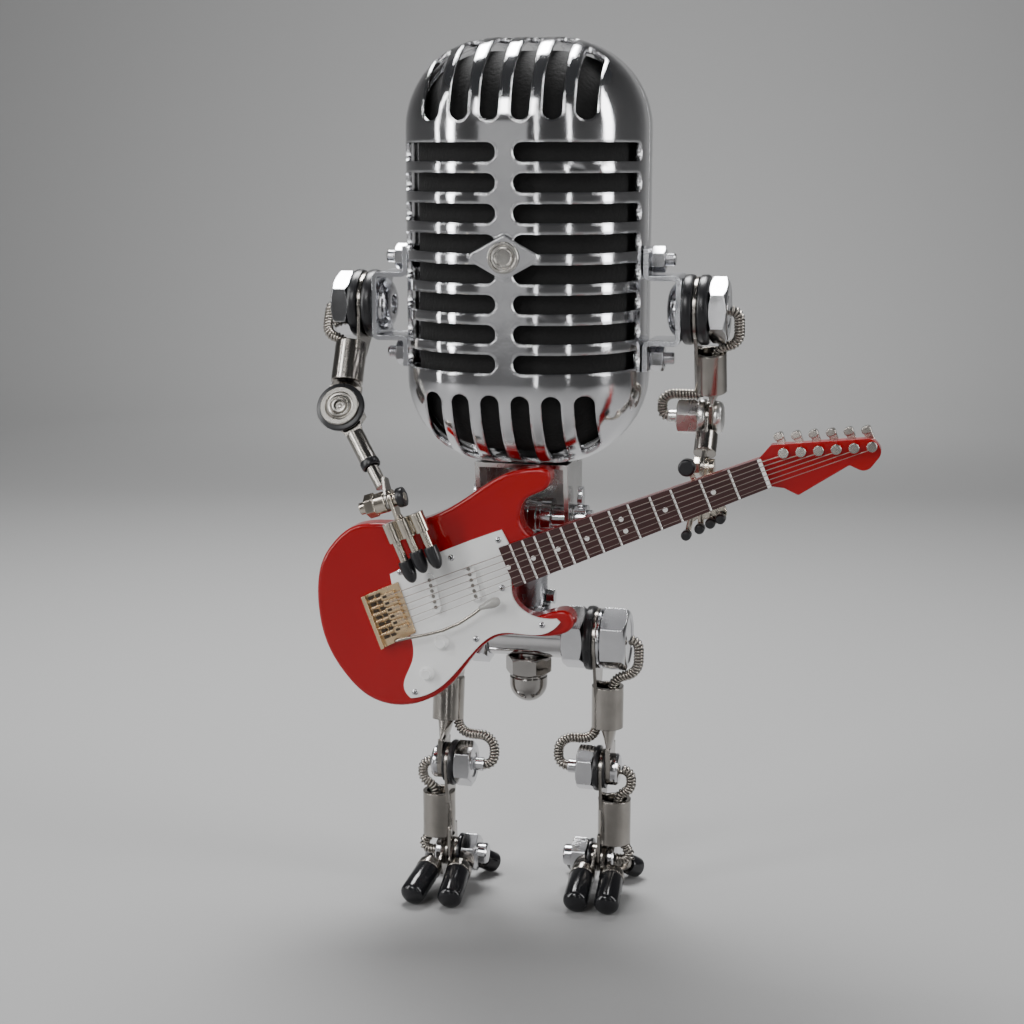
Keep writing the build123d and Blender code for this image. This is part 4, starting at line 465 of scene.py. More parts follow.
# places along X: stub, nut, disc, and the knee's rubber and thin washers
knee_x = {"right": (-8.2, -4.8, 6.3, 0.9, 3.9), "left": (-34.6, -38.0, -49.1, -43.7, -46.7)}
ankle_x = {"right": (-9.3, -6.3, 5.3), "left": (-33.5, -36.5, -48.1)}
for name, side in (("right", 1), ("left", -1)):
    out = (side, 0, 0)
    for lug in ("thigh_lug", "shin_lug", "foot_lugs"):
        finish_node(f"{lug}_{name}", lug_tin)
    stub, nut, disc, pad, thin = knee_x[name]
    y, z = leg_y[name], knee_z[name]
    across = DOWN if side > 0 else (0, -0.148, -0.989)
    knee = bmesh.new()
    stub_end(knee, (stub, y, z), out, across, 2.2, 3.4, 0.3)
    rod(knee, (nut, y, z), out, across, 3.9, 0.4, 11.1)
    hexagon_nut(knee, (nut, y, z), out, across, 13.0, 5.7, 3.92)
    turned(knee, (disc, y, z), out, across,
           [(0.0, 0.0), (5.1, 0.0), (5.2, 0.2), (5.2, 1.6), (4.6, 2.3), (3.0, 2.7), (1.6, 2.8), (0.0, 2.8)])
    finished(f"knee_fastener_{name}", knee, bolt_plate, f"thigh_{name}", f"knee_bolt_{name}")
    pads = bmesh.new()
    rolled_washer(pads, (pad, y, z), out, across, 7.4, 3.95, 1.7, 0.5)
    rolled_washer(pads, (thin, y, z), out, across, 6.4, 3.95, 0.8, 0.25)
    finished(f"knee_rubbers_{name}", pads, rubber, f"thigh_{name}", f"knee_washers_{name}")
    stub, nut, disc = ankle_x[name]
    z = foot_rise[name]
    ankle = bmesh.new()
    stub_end(ankle, (stub, y, z), out, DOWN, 3.4, 3.0, 0.5)
    rod(ankle, (nut, y, z), out, DOWN, 2.5, 0.0, 11.6)
    hexagon_nut(ankle, (nut, y, z), out, DOWN, 11.0, 5.2, 2.52)
    round_head(ankle, (disc, y, z), out, DOWN, 4.6, 2.3, 0.5)
    finished(f"ankle_fastener_{name}", ankle, bolt_plate, f"shin_{name}", f"ankle_bolt_{name}")

# --- feet: four rubber caps on each ankle's lugs, two in front and two behind ---
# Glossy dipped rubber, pushed over the lugs' ends up to their collars; the undersides are worn flat. The
# washer on each ankle bolt is the same rubber.
cap_rubber = soft_black("cap_rubber", (0.006, 0.006, 0.007), 0.16, 350.0, 0.00002)


def lug_aim(turn, fall):
    """Direction of a foot's lug: turned from straight ahead, falling under the level."""
    turn, fall = math.radians(turn), math.radians(fall)
    return Vector((math.cos(fall) * math.sin(turn), -math.cos(fall) * math.cos(turn), -math.sin(fall)))


def pushed_cap(mesh, root, aim, length, reach, radius, inner, dome):
    """Hollow cap with a domed nose, from its nose at a reach from the root back to its rim."""
    rings = [(0.0, 0.0)]
    for step in range(1, 10):
        turn = math.radians(10 * step)
        rings.append((radius * math.sin(turn), dome * (1 - math.cos(turn))))
    rings += [(radius, length - 0.4), (radius - 0.15, length), (inner, length), (inner, length - 1.0),
              (0.0, length - 1.0)]
    turned(mesh, root + aim * reach, -aim, UP, rings)


for name, side, toe_splay in (("right", 1, 2.0), ("left", -1, 12.0)):
    rise = foot_rise[name]
    middle = Vector((-21.38, leg_y[name], rise))
    toe_fall = math.degrees(math.asin((rise - 3.182) / 23.3))
    heel_fall = math.degrees(math.asin((rise - 2.8) / 16.5))
    caps = bmesh.new()
    for out, outward, splay in ((19.8, -1, 0.0), (29.3, 1, toe_splay)):
        root = middle + Vector((side * out, 0, 0)) + lug_aim(0, toe_fall) * 7.2
        aim = lug_aim(side * outward * splay, toe_fall)
        pushed_cap(caps, root, aim, 13.7, 16.8, 4.0, 3.62, 2.4)
    for out, outward in ((17.1, -1), (30.2, 1)):
        root = middle + Vector((side * out, 0, 0)) + lug_aim(180, heel_fall) * 8.2
        aim = lug_aim(180 - side * outward * 35.0, heel_fall)
        pushed_cap(caps, root, aim, 6.0, 8.3, 3.4, 2.62, 1.0)
    for vertex in caps.verts:
        vertex.co.z = max(vertex.co.z, 0.0)
    rolled_washer(caps, middle + Vector((side * 20.5, 0, 0)), (side, 0, 0), UP, 6.0, 2.55, 1.2, 0.35)
    finished(f"foot_caps_{name}", caps, cap_rubber, f"foot_{name}", f"foot_rubbers_{name}")


# --- wound sheaths: the hoses that run from lug to lug round every joint ---
# Close-wound steel wire over a dark core, like a bicycle cable's outer; each end is pushed into a barrel or
# held on a bolt's end.
def new_tree(name, source, sizes, finishes, result):
    """Starts a tree: geometry, sizes and materials in, geometry out. Returns it with both its ends."""
    tree = bpy.data.node_groups.new(name, "GeometryNodeTree")
    face = tree.interface
    face.new_socket(source, in_out="INPUT", socket_type="NodeSocketGeometry")
    for label, value in sizes:
        kind = "NodeSocketInt" if isinstance(value, int) else "NodeSocketFloat"
        face.new_socket(label, in_out="INPUT", socket_type=kind).default_value = value
    for label in finishes:
        face.new_socket(label, in_out="INPUT", socket_type="NodeSocketMaterial")
    face.new_socket(result, in_out="OUTPUT", socket_type="NodeSocketGeometry")
    return tree, tree.nodes.new("NodeGroupInput").outputs, tree.nodes.new("NodeGroupOutput").inputs


def shaped(tree, kind, geometry, **more):
    """Result of a node with geometry in and geometry out."""
    return add_node(tree, kind, {"Geometry": geometry, **more}).outputs["Geometry"]


def end_tree(tree, geometry, finish, way_out, mark=None, second=None):
    """Ends a tree: real geometry, its finish, and a second finish on the faces that carry a mark."""
    geometry = shaped(tree, "GeometryNodeRealizeInstances", geometry)
    geometry = shaped(tree, "GeometryNodeSetMaterial", geometry, Material=finish)
    if mark:
        chosen = add_node(tree, "GeometryNodeInputNamedAttribute", {"Name": mark}, data_type="BOOLEAN")
        geometry = shaped(tree, "GeometryNodeSetMaterial", geometry, Selection=chosen.outputs["Attribute"],
                          Material=second)
    tree.links.new(geometry, way_out)


def maths(tree, operation, *values, kind="ShaderNodeMath"):
    """Result of a sum on numbers or, with the other kind of node, on vectors."""
    return add_node(tree, kind, dict(enumerate(values)), operation=operation).outputs[0]


def marked_faces(tree, geometry, mark):
    """Stores a mark on every face."""
    return add_node(tree, "GeometryNodeStoreNamedAttribute",
                    {"Geometry": geometry, "Name": mark, "Value": True}, data_type="BOOLEAN",
                    domain="FACE").outputs["Geometry"]


def swept(tree, curve, radius, sides):
    """Capped tube along a curve."""
    section = add_node(tree, "GeometryNodeCurvePrimitiveCircle", {"Resolution": sides, "Radius": radius})
    return add_node(tree, "GeometryNodeCurveToMesh",
                    {"Curve": curve, "Profile Curve": section.outputs["Curve"], "Fill Caps": True})


def resampled(tree, curve, length):
    """Curve cut into equal steps."""
    return add_node(tree, "GeometryNodeResampleCurve", {"Curve": curve, "Length": length},
                    mode="LENGTH").outputs["Curve"]


def wound_sheath_tree():
    """Path edges in, rounded run, core tube and wire turns out."""
    tree, given, result = new_tree(
        "wound_sheath", "Path",
        (("Bend Radius", 0.0052), ("Turn Radius", 0.00128), ("Wire Radius", 0.00046), ("Pitch", 0.00098),
         ("Core Radius", 0.00122)), ("Wire", "Core"), "Sheath")
    run = add_node(tree, "GeometryNodeMeshToCurve", {"Mesh": given["Path"]})
    rounded = add_node(tree, "GeometryNodeFilletCurve",
                       {"Curve": run.outputs["Curve"], "Radius": given["Bend Radius"], "Count": 8,
                        "Limit Radius": True}, mode="POLY").outputs["Curve"]
    steps_per_turn, core_step = 9.0, 0.0006
    steps = resampled(tree, rounded, maths(tree, "DIVIDE", given["Pitch"], steps_per_turn))
    # wire: each point leaves the middle line by the turn's radius
    along = add_node(tree, "GeometryNodeSplineParameter").outputs["Length"]
    angle = maths(tree, "MULTIPLY", maths(tree, "DIVIDE", along, given["Pitch"]), math.tau)
    tangent = add_node(tree, "GeometryNodeInputTangent").outputs["Tangent"]
    normal = add_node(tree, "GeometryNodeInputNormal").outputs["Normal"]
    side = maths(tree, "CROSS_PRODUCT", tangent, normal, kind="ShaderNodeVectorMath")
    parts = []
    for function, direction in (("COSINE", normal), ("SINE", side)):
        reach = maths(tree, "MULTIPLY", maths(tree, function, angle), given["Turn Radius"])
        scaled = add_node(tree, "ShaderNodeVectorMath", {0: direction, "Scale": reach}, operation="SCALE")
        parts.append(scaled.outputs["Vector"])
    both = maths(tree, "ADD", *parts, kind="ShaderNodeVectorMath")
    helix = shaped(tree, "GeometryNodeSetPosition", steps, Offset=both)
    wire = swept(tree, helix, given["Wire Radius"], 6).outputs["Mesh"]
    # core: a plain dark tube inside the turns
    core = swept(tree, resampled(tree, rounded, core_step), given["Core Radius"], 12).outputs["Mesh"]
    together = shaped(tree, "GeometryNodeJoinGeometry", [marked_faces(tree, core, "core"), wire])
    smooth = shaped(tree, "GeometryNodeSetShadeSmooth", together)
    end_tree(tree, smooth, given["Wire"], result["Sheath"], "core", given["Core"])
    return tree


def grown(name, tree, points, edges, settings, gauges=()):
    """Runs a tree on a few points and edges, and returns the plain mesh it grows."""
    seed = bpy.data.meshes.new(f"{name}_seed")
    seed.from_pydata([Vector(point) * MM for point in points], edges, [])
    if gauges:
        seed.attributes.new("gauge", "FLOAT", "POINT").data.foreach_set("value", gauges)
    holder = bpy.data.objects.new(f"{name}_seed", seed)
    bpy.context.collection.objects.link(holder)
    modifier = holder.modifiers.new("grow", "NODES")
    modifier.node_group = tree
    for socket in tree.interface.items_tree:
        if socket.item_type == "SOCKET" and socket.in_out == "INPUT" and socket.name in settings:
            modifier[socket.identifier] = settings[socket.name]
    depsgraph = bpy.context.evaluated_depsgraph_get()
    depsgraph.update()
    data = bpy.data.meshes.new_from_object(holder.evaluated_get(depsgraph), depsgraph=depsgraph)
    data.name = name
    holder.modifiers.remove(modifier)
    bpy.data.objects.remove(holder)
    return data


def chained(runs):
    """Points of several runs in one list, and the edges along each run."""
    points, edges = [], []
    for run in runs:
        edges += [(len(points) + k, len(points) + k + 1) for k in range(len(run) - 1)]
        points += run
    return points, edges


sheath_tree = wound_sheath_tree()
sheath_wire = worked_metal("sheath_wire", (0.46, 0.43, 0.39), (0.27, 0.25, 0.225), 0.18, 0.32, 0.0001)
sheath_core = soft_black("sheath_core", (0.02, 0.019, 0.018), 0.5, 600.0, 0.00002)
sheath_runs = (
    ("thigh_hoses_right", "thigh_right", (
        ((11.6, -0.5, 84.568), (14.4, -0.5, 84.568), (14.4, -0.5, 73.568), (5.9, -0.5, 71.868),
         (5.9, -0.5, 67.068)), ((1.0, -0.5, 55.468), (1.0, -0.5, 51.068), (-11.4, -0.5, 50.768),
                                (-11.4, -0.5, 41.268), (-8.2, -0.5, 41.268)))),
    ("thigh_hoses_left", "thigh_left", (
        ((-54.4, -0.5, 84.568), (-57.2, -0.5, 84.568), (-57.2, -2.126, 73.689), (-48.7, -2.377, 72.007),
         (-48.7, -3.087, 67.26)),
        ((-43.8, -4.801, 55.787), (-43.8, -5.452, 51.436), (-31.4, -5.496, 51.139), (-31.4, -6.9, 41.743),
         (-34.6, -6.9, 41.743)))),
    ("shin_hoses_right", "shin_right", (
        ((9.4, -0.5, 41.268), (12.5, -0.5, 41.268), (12.5, -0.5, 34.668), (8.3, -0.5, 32.668),
         (8.3, -0.5, 27.768)), ((10.8, -0.5, 16.668), (10.8, -0.5, 15.068), (12.2, -0.5, 13.468),
                                (12.2, -0.5, 10.768), (7.6, -0.5, 10.768)))),
    ("shin_hoses_left", "shin_left", (
        ((-52.2, -6.9, 41.743), (-55.3, -6.9, 41.743), (-55.3, -6.9, 35.143), (-51.1, -6.9, 33.143),
         (-51.1, -6.9, 28.243)),
        ((-53.6, -6.9, 17.143), (-53.6, -6.9, 15.543), (-55.0, -6.9, 13.943), (-55.0, -6.9, 11.243),
         (-50.4, -6.9, 11.243)))),
    ("arm_hoses_right", "upper_arm_right", (
        ((40.8, -0.5, 189.5), (43.6, -0.5, 189.5), (43.6, 2.532, 178.926), (36.4, 2.863, 177.773),
         (36.4, 4.186, 173.159)),
        ((31.55, 6.804, 164.027), (31.55, 7.204, 162.633), (19.35, 7.204, 162.633), (19.35, 9.313, 155.279),
         (21.15, 9.313, 155.279)))),
    ("arm_hoses_left", "upper_arm_left", (
        ((-83.6, -0.5, 189.5), (-85.9, -0.5, 189.5), (-85.9, -5.322, 179.613), (-79.2, -5.848, 178.535),
         (-79.2, -7.952, 174.221)),)),
)
for node, body, runs in sheath_runs:
    sheath = grown(f"wound_{node}", sheath_tree, *chained(runs), {"Wire": sheath_wire, "Core": sheath_core})
    linked(f"wound_{node}", sheath, body, node)


# --- arms: lugs from shoulder to wrist, with their bolts ---
# Tin-plated lugs like the legs'. The right elbow has a nut and a domed disc, the left a big rubber washer
# under a stepped steel disc, and a rubber ring on its forearm.
for name in ("right", "left"):
    finish_node(f"upper_arm_{name}", lug_tin)
    finish_node(f"forearm_{name}", lug_tin)
elbow = bmesh.new()
elbow_line, across = (9.313, 155.279), (0, -0.276, 0.961)
stub_end(elbow, (21.15, *elbow_line), RIGHT, across, 2.0, 3.0, 0.3)
rod(elbow, (24.15, *elbow_line), RIGHT, across, 2.5, 0.3, 11.5)
hexagon_nut(elbow, (24.15, *elbow_line), RIGHT, across, 10.0, 6.7, 2.52)
turned(elbow, (35.7, *elbow_line), RIGHT, across,
       [(0.0, 0.0), (5.1, 0.0), (5.2, 0.2), (5.2, 1.4), (4.7, 2.3), (3.5, 2.8), (1.6, 3.0), (0.0, 3.0)])
rolled_washer(elbow, (30.9, *elbow_line), RIGHT, across, 5.8, 2.55, 2.2, 0.3)
satin_plate = worked_metal("satin_plate", (0.86, 0.85, 0.83), (0.70, 0.69, 0.67), 0.24, 0.36, 0.0003)
finished("elbow_fastener_right", elbow, satin_plate, "upper_arm_right", "elbow_bolt_right")

line = (0, -0.8988, 0.4384)
elbow = bmesh.new()
stub_end(elbow, (-77.4, -9.095, 154.084), line, RIGHT, 2.5, 11.2, 0.3)
turned(elbow, (-77.4, -19.297, 159.059), line, RIGHT,
       [(2.55, 0.0), (6.2, 0.0), (6.2, 0.7), (5.9, 1.0), (4.6, 1.0), (4.3, 0.5), (3.8, 0.4), (3.5, 1.1),
        (2.9, 1.25), (2.55, 0.9), (2.55, 0.0)])
turned(elbow, (-77.4, -19.297, 159.059), line, RIGHT,
       [(0.0, 0.2), (2.5, 0.2), (2.5, 0.9), (2.2, 1.5), (1.6, 1.6), (1.3, 0.4), (0.7, 0.4), (0.6, 0.9),
        (0.0, 1.0)])
rolled_washer(elbow, (-77.4, -13.589, 156.275), line, RIGHT, 5.8, 2.55, 2.2, 0.3)
hexagon_nut(elbow, (-77.4, -9.859, 154.456), line, RIGHT, 10.0, 4.1, 2.52)
elbow_steel = worked_metal("elbow_steel", (0.46, 0.44, 0.405), (0.28, 0.27, 0.25), 0.16, 0.32, 0.0003, 240.0,
                           0.00002)
finished("elbow_fastener_left", elbow, elbow_steel, "upper_arm_left", "elbow_bolt_left")
pad = bmesh.new()
rolled_washer(pad, (-77.4, -17.904, 158.38), line, RIGHT, 7.7, 2.6, 1.5, 0.4)
finished("elbow_rubber_left", pad, rubber, "upper_arm_left", None)
sleeve = bmesh.new()
arm_line = Vector((0.544639, -0.367649, -0.753792))
sleeve_foot = Vector((-77.4, -17.274, 158.073)) + arm_line * 19.6
rolled_washer(sleeve, sleeve_foot, arm_line, RIGHT, 3.05, 2.5, 2.6, 0.5)
finished("forearm_sleeve_left", sleeve, rubber, "forearm_left", None)

# --- hands: lobed palms with bent wire fingers and rubber tips ---
# Cast palms and steel wire, brighter than the lugs; the tips are black rubber caps. A rubber disc sits on
# the left wrist bolt.
hand_metal = worked_metal("hand_metal", (0.72, 0.66, 0.57), (0.50, 0.45, 0.38), 0.10, 0.26, 0.0005, 300.0,
                          0.00005)
for name in ("right", "left"):
    finish_node(f"hand_{name}", hand_metal)
finish_node("finger_tips_right", rubber)
tips = bmesh.new()
finger_run, knuckle_row = Vector((0.390731, 0, -0.920505)), Vector((0.920505, 0, 0.390731))
for place, wire_end in ((-4.8, 14.1), (-0.3, 12.5), (4.5, 12.8)):
    wire_foot = Vector((-52.88, -30.6, 123.897)) + knuckle_row * place + finger_run * wire_end
    pushed_cap(tips, wire_foot, finger_run, 7.3, 2.3, 2.2, 1.42, 4.2)
wrist_line = Vector((-0.951057, 0, -0.309017))
rolled_washer(tips, Vector((-58.59, -29.958, 132.067)) - wrist_line * 5.3, wrist_line, (0, 1, 0), 3.1, 1.42,
              2.4, 0.5)
finished("finger_rubbers_left", tips, rubber, "hand_left", "finger_tips_left")


# --- guitar body and neck: one lacquered plank and a screwed-on neck ---
# Hard plastic or wood sprayed red, polished to a mirror; the neck's back and its headstock are the same red.
def lacquer(name, colour, deep, coat):
    """Gloss lacquer over a colour that pools slightly darker."""
    paint, tree, shader, place = blank_material(name)
    two_tones(tree, shader, noise(tree, place, 22.0), colour, deep)
    for label, value in (("Roughness", 0.25), ("Specular IOR Level", 0.2), ("Coat Weight", coat),
                         ("Coat Roughness", 0.04)):
        shader.inputs[label].default_value = value
    fine_relief(tree, shader, noise(tree, place, 120.0), 0.25, 0.00003, 0.0004)
    return paint


red = lacquer("red_lacquer", (0.38, 0.002, 0.004), (0.27, 0.001, 0.003), 0.55)
finish_node("guitar_body", red)
finish_node("guitar_neck", red)

# --- scratch plate: white sheet screwed to the body ---
# Gloss white plastic with seven small domed screws.
white = lacquer("white_plate", (0.90, 0.90, 0.89), (0.84, 0.84, 0.83), 0.6)
finish_node("guitar_pickguard", white)
slant = math.radians(22.7)
GUITAR = Vector((-22.98, -23.5, 111.73))
ALONG = Vector((math.cos(slant), 0, math.sin(slant)))
ACROSS = Vector((-math.sin(slant), 0, math.cos(slant)))
OUT = Vector((0, -1, 0))


def on_guitar(u, v, w):
    """Point on the guitar: along the neck, across it, and proud of the body's face, in millimetres."""
    return GUITAR + ALONG * u + ACROSS * v + OUT * w


def on_points(tree, points, piece):
    """Sets a piece on every point."""
    return add_node(tree, "GeometryNodeInstanceOnPoints",
                    {"Points": points, "Instance": piece}).outputs["Instances"]


def small_screw_tree():
    """A domed screw on every point, standing out along -Y, with a dark cross painted on its crown as shade
    for the cross recess.
    """
    tree, given, result = new_tree(
        "small_screws", "Places", (("Head Radius", 0.00105), ("Head Height", 0.0005),
                                   ("Recess Width", 0.00026)), ("Metal", "Recess"), "Screws")
    radius, height, width = given["Head Radius"], given["Head Height"], given["Recess Width"]
    ball = add_node(tree, "GeometryNodeMeshUVSphere", {"Segments": 20, "Rings": 10, "Radius": radius})
    shape = add_node(tree, "ShaderNodeCombineXYZ",
                     {"X": 1.0, "Y": maths(tree, "DIVIDE", height, radius), "Z": 1.0})
    dome = shaped(tree, "GeometryNodeTransform", ball.outputs["Mesh"], Scale=shape.outputs["Vector"])
    # The cross recess is not cut: two thin bars through the dome's crown take the second finish, dark
    # moulded plastic, as painted shade for the recess.
    bar_length = maths(tree, "MULTIPLY", radius, 1.1)
    bar_depth = maths(tree, "MULTIPLY", height, 2.02)
    shade_bars = []
    for wide, tall in ((bar_length, width), (width, bar_length)):
        size = add_node(tree, "ShaderNodeCombineXYZ", {"X": wide, "Y": bar_depth, "Z": tall})
        shade_bars.append(add_node(tree, "GeometryNodeMeshCube", {"Size": size.outputs["Vector"]}).outputs["Mesh"])
    painted_cross = marked_faces(tree, shaped(tree, "GeometryNodeJoinGeometry", shade_bars), "recess")
    rounded = shaped(tree, "GeometryNodeSetShadeSmooth", dome)
    screw = shaped(tree, "GeometryNodeJoinGeometry", [rounded, painted_cross])
    placed = on_points(tree, given["Places"], screw)
    end_tree(tree, placed, given["Metal"], result["Screws"], "recess", given["Recess"])
    return tree


screw_tree = small_screw_tree()
guard_screws = ((0.7, 8.9), (-15.5, 8.8), (-32.7, 10.2), (-4.0, -5.4), (-18.1, -17.6), (-43.5, -27.0),
                (3.4, -20.4))
# The cross on each head gets the black moulded finish: painted shade for its recess.
screw_mesh = grown("plate_screws", screw_tree, [on_guitar(u, v, 0.85) for u, v in guard_screws], [],
                   {"Metal": bolt_plate, "Recess": moulded_black})
linked("plate_screws", screw_mesh, "head", None)

# --- pickups: two slim white covers with six pole pieces each ---
# White plastic; the poles are plain steel rods that stand a hair proud.
finish_node("guitar_pickups", white)
pole_steel = worked_metal("pole_steel", (0.40, 0.38, 0.35), (0.26, 0.25, 0.23), 0.2, 0.36, 0.0001)


def round_pegs_tree():
    """A short round peg on every point, its top facing -Y."""
    tree, given, result = new_tree("round_pegs", "Places", (("Radius", 0.0005), ("Height", 0.0006)),
                                   ("Finish",), "Pegs")
    peg = add_node(tree, "GeometryNodeMeshCylinder",
                   {"Vertices": 16, "Radius": given["Radius"], "Depth": given["Height"]})
    laid = shaped(tree, "GeometryNodeTransform", peg.outputs["Mesh"], Rotation=(math.radians(90), 0, 0))
    placed = on_points(tree, given["Places"], laid)
    end_tree(tree, placed, given["Finish"], result["Pegs"])
    return tree


peg_tree = round_pegs_tree()
pole_places = []
for (u, v), turn in (((-25.1, 0.5), 80.3), ((-11.9, -0.5), 82.3)):
    lean = math.radians(turn)
    for step in range(6):
        reach = (step - 2.5) * 1.75
        pole_places.append(on_guitar(u + reach * math.cos(lean), v + reach * math.sin(lean), 1.95))
linked("pickup_poles", grown("pickup_poles", peg_tree, pole_places, [],
                                  {"Radius": 0.00058, "Height": 0.0005, "Finish": pole_steel}), "head", None)

# --- knobs: two white dials with flared skirts ---
# Moulded white plastic, pushed on their shafts.
knob_mesh = bmesh.new()
for u, v in ((-28.9, -14.9), (-37.2, -22.6)):
    turned(knob_mesh, on_guitar(u, v, 0.8), OUT, ALONG,
           [(0.0, 0.0), (2.4, 0.0), (2.4, 0.35), (2.0, 0.75), (1.75, 1.0), (1.6, 2.3), (1.4, 2.55),
            (0.9, 2.45), (0.0, 2.4)])
finished("dial_knobs", knob_mesh, white, "head", "guitar_knobs")

# --- bridge: plate with a raised back and six saddles on springs, with painted shade between them ---
# Gold-plated pressed steel; every saddle has two height screws, and a spring and screw to the back.
gold = worked_metal("gold_plate", (0.90, 0.69, 0.45), (0.72, 0.52, 0.31), 0.16, 0.34, 0.0002)


def plate_block(mesh, corners, low, high):
    """Upright slab over a flat outline on the guitar."""
    foot = [mesh.verts.new(on_guitar(u, v, low) * MM) for u, v in corners]
    top = [mesh.verts.new(on_guitar(u, v, high) * MM) for u, v in corners]
    mesh.faces.new(top)
    mesh.faces.new(foot[::-1])
    count = len(corners)
    for k in range(count):
        mesh.faces.new((foot[k], foot[(k + 1) % count], top[(k + 1) % count], top[k]))


saddle_middle, saddle_pitch = -0.7, 2.2
bridge = bmesh.new()
plate_block(bridge, ((-47.2, 7.2), (-34.6, 7.5), (-35.5, -9.2), (-47.7, -10.4)), 0.0, 1.4)
plate_block(bridge, ((-47.2, 7.2), (-46.0, 7.2), (-46.5, -10.3), (-47.7, -10.4)), 1.4, 3.0)
for step in range(6):
    v = saddle_middle + (step - 2.5) * saddle_pitch
    plate_block(bridge, ((-41.3, v + 0.85), (-36.6, v + 0.85), (-36.6, v - 0.85), (-41.3, v - 0.85)), 1.45,
                2.55)
    for w_v in (v + 0.5, v - 0.5):
        rod(bridge, on_guitar(-38.0, w_v, 2.3), OUT, ALONG, 0.3, 0.0, 0.5)
    rod(bridge, on_guitar(-46.6, v, 2.1), ALONG, OUT, 0.28, 0.0, 5.6)
    for coil in range(7):
        rolled_washer(bridge, on_guitar(-45.6 + coil * 0.6, v, 2.1), ALONG, OUT, 0.72, 0.4, 0.34, 0.12)
finished("bridge_unit", bridge, gold, "head", "guitar_bridge", 35)
# Dark blocks between the springs and a thin dark strip along each saddle's top are painted shade for the
# gaps and grooves there; they stand for no part.
shade_blocks = bmesh.new()
for step in range(7):
    v = saddle_middle + (step - 3) * saddle_pitch
    for back, front in ((-45.4, -43.9), (-42.9, -41.5)):
        plate_block(shade_blocks, ((back, v + 0.5), (front, v + 0.5), (front, v - 0.5), (back, v - 0.5)), 1.38,
                    2.3)
for step in range(6):
    v = saddle_middle + (step - 2.5) * saddle_pitch
    plate_block(shade_blocks, ((-40.7, v + 0.4), (-39.3, v + 0.4), (-39.3, v - 0.4), (-40.7, v - 0.4)), 2.5, 2.6)
# Dark brown finish for these blocks: painted shade, not a material of the bridge.
painted_gap_shade = soft_black("painted_gap_shade", (0.020, 0.012, 0.006), 0.5, 500.0, 0.00002)
finished("bridge_painted_shade", shade_blocks, painted_gap_shade, "head", None)

# --- tremolo arm: bent steel wire with a moulded tip ---
# Nickel-plated wire that stands in the bridge plate; the grey tip is pushed on its end.
def drawn_wire_tree():
    """Round wire along every edge, as thick as its gauge."""
    tree, given, result = new_tree("drawn_wire", "Lines", (("Sides", 8),), ("Finish",), "Wire")
    line = add_node(tree, "GeometryNodeMeshToCurve", {"Mesh": given["Lines"]})
    gauge = add_node(tree, "GeometryNodeInputNamedAttribute", {"Name": "gauge"},
                     data_type="FLOAT").outputs["Attribute"]
    sized = add_node(tree, "GeometryNodeSetCurveRadius", {"Curve": line.outputs["Curve"], "Radius": gauge})
    wire = swept(tree, sized.outputs["Curve"], 1.0, given["Sides"])
    if "Scale" in wire.inputs:
        tree.links.new(gauge, wire.inputs["Scale"])
    smooth = shaped(tree, "GeometryNodeSetShadeSmooth", wire.outputs["Mesh"])
    end_tree(tree, smooth, given["Finish"], result["Wire"])
    return tree


wire_tree = drawn_wire_tree()


def drawn(name, lines, gauges, finish, sides=8):
    """One mesh of wires; each line is a run of points and has its own gauge, in millimetres."""
    thickness = [gauge * MM for line, gauge in zip(lines, gauges) for point in line]
    return grown(name, wire_tree, *chained(lines), {"Finish": finish, "Sides": sides}, thickness)


pivot, tip_foot, bend_radius, wire_rise = (-42.0, -9.2), (-12.0, -8.4), 1.6, 4.5
run = (Vector(tip_foot) - Vector(pivot)).normalized()
tremolo_line = [on_guitar(*pivot, 0.2)]
for step in range(7):
    turn = math.radians(15 * step)
    out = bend_radius * (1 - math.cos(turn))
    tremolo_line.append(on_guitar(pivot[0] + run.x * out, pivot[1] + run.y * out,
                                  wire_rise - bend_radius * (1 - math.sin(turn))))
for share in (0.12, 0.3, 0.5, 0.7, 0.88, 1.0):
    tremolo_line.append(on_guitar(pivot[0] + bend_radius + 29.4 * share, pivot[1] + 0.8 * share
                                  - 2.3 * math.sin(math.pi * share ** 1.2), wire_rise))
arm_nickel = worked_metal("arm_nickel", (0.50, 0.46, 0.41), (0.34, 0.31, 0.27), 0.12, 0.24, 0.0001)
linked("tremolo_wire", drawn("tremolo_wire", [tremolo_line], [0.5], arm_nickel, 16), "tremolo",
            "tremolo_arm")
paddle = bmesh.new()
turned(paddle, on_guitar(*tip_foot, wire_rise), ALONG * run.x + ACROSS * run.y, OUT,
       [(0.0, 0.0), (0.62, 0.0), (0.75, 0.3), (1.0, 1.8), (1.45, 3.6), (1.6, 5.0), (1.45, 6.1), (0.95, 6.8),
        (0.4, 7.0), (0.0, 7.0)])
tip_plastic = lacquer("tip_plastic", (0.44, 0.43, 0.41), (0.33, 0.32, 0.30), 0.9)
finished("tremolo_tip", paddle, tip_plastic, "tremolo", None)

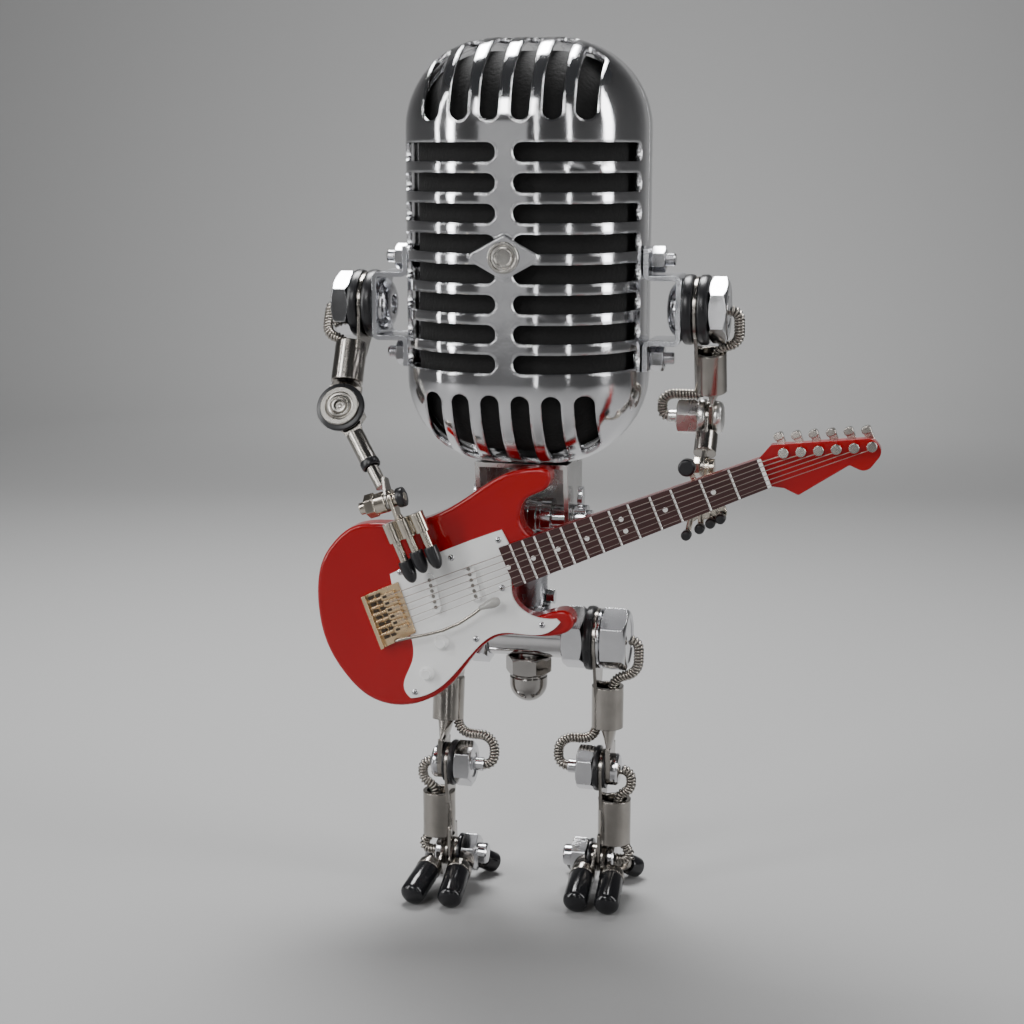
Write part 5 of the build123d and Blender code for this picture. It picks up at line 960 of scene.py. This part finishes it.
# --- fretboard: dark wood with frets, dots and a nut ---
# Rosewood strip, oiled; nickel fret wire pressed into its slots, white dot inlays, a bone-coloured nut.
rosewood = soft_black("rosewood", (0.030, 0.009, 0.009), 0.42, 300.0, 0.00004)
grain_map = rosewood.node_tree.nodes.new("ShaderNodeMapping")
grain_map.inputs["Rotation"].default_value = (0, slant, 0)
grain_map.inputs["Scale"].default_value = (0.12, 1.0, 1.0)
for link in list(rosewood.node_tree.links):
    if link.to_socket.name == "Vector" and link.to_node.bl_idname == "ShaderNodeTexNoise":
        rosewood.node_tree.links.new(link.from_socket, grain_map.inputs["Vector"])
        rosewood.node_tree.links.new(grain_map.outputs["Vector"], link.to_socket)
finish_node("guitar_fretboard", rosewood)


def board_half(u):
    """Half the fretboard's width at a distance from its body end."""
    foot_width, nut_width, length = 13.2, 9.05, 84.0
    return (foot_width - (foot_width - nut_width) * u / length) / 2


fret_metal = worked_metal("fret_metal", (0.95, 0.94, 0.92), (0.86, 0.85, 0.82), 0.25, 0.42, 0.0001)
fret_places = (3.7, 7.8, 11.8, 16.3, 20.6, 25.2, 30.4, 36.3, 42.4, 49.5, 56.2, 65.4, 74.5)
board_face = 1.45
fret_lines = [[on_guitar(u, board_half(u) - 0.1, board_face), on_guitar(u, 0.1 - board_half(u), board_face)]
              for u in fret_places]
linked("frets", drawn("frets", fret_lines, [0.36] * len(fret_lines), fret_metal), "head", None)
dot_places = [on_guitar(u, v, board_face) for u, v in
              ((0.6, 0), (9.1, 0), (17.4, 0), (27.0, 0), (39.0, 1.9), (39.0, -1.9), (52.6, 0), (68.0, 0))]
inlay = lacquer("inlay", (0.92, 0.91, 0.89), (0.88, 0.87, 0.85), 0.4)
linked("board_dots", grown("board_dots", peg_tree, dot_places, [],
                                {"Radius": 0.00078, "Height": 0.0002, "Finish": inlay}), "head", None)
nut_block = bmesh.new()
plate_block(nut_block, ((83.5, 4.5), (84.6, 4.45), (84.6, -4.45), (83.5, -4.5)), 1.3, 2.05)
finished("string_nut", nut_block, inlay, "head", None)

# --- strings and tuners: six strings from the saddles over the nut to their posts ---
# Plain steel wire, each a little thinner than the last; the posts and tuner buttons are plated, and the
# buttons stand along the headstock's upper edge.
post_plate = worked_metal("post_plate", (0.66, 0.62, 0.57), (0.36, 0.33, 0.30), 0.10, 0.24, 0.0005, 240.0,
                          0.00003)
finish_node("guitar_tuners", post_plate)
string_metal = worked_metal("string_wire", (0.34, 0.29, 0.26), (0.24, 0.20, 0.18), 0.30, 0.45, 0.00005)
string_lines, string_gauges = [], []
for step in range(6):
    share = step / 5
    post = (91.3 + share * 24.4, 3.7 - share * 7.2)
    string_lines.append([on_guitar(-41.0, 4.8 - share * 11.0, 1.6),
                         on_guitar(-38.6, 4.8 - share * 11.0, 2.75),
                         on_guitar(84.0, 3.6 - share * 7.2, 2.15),
                         on_guitar(post[0] - 0.2, post[1] - 0.85, 0.2)])
    string_gauges.append(0.15 - 0.012 * step)
linked("strings", drawn("strings", string_lines, string_gauges, string_metal, 6), "head", None)
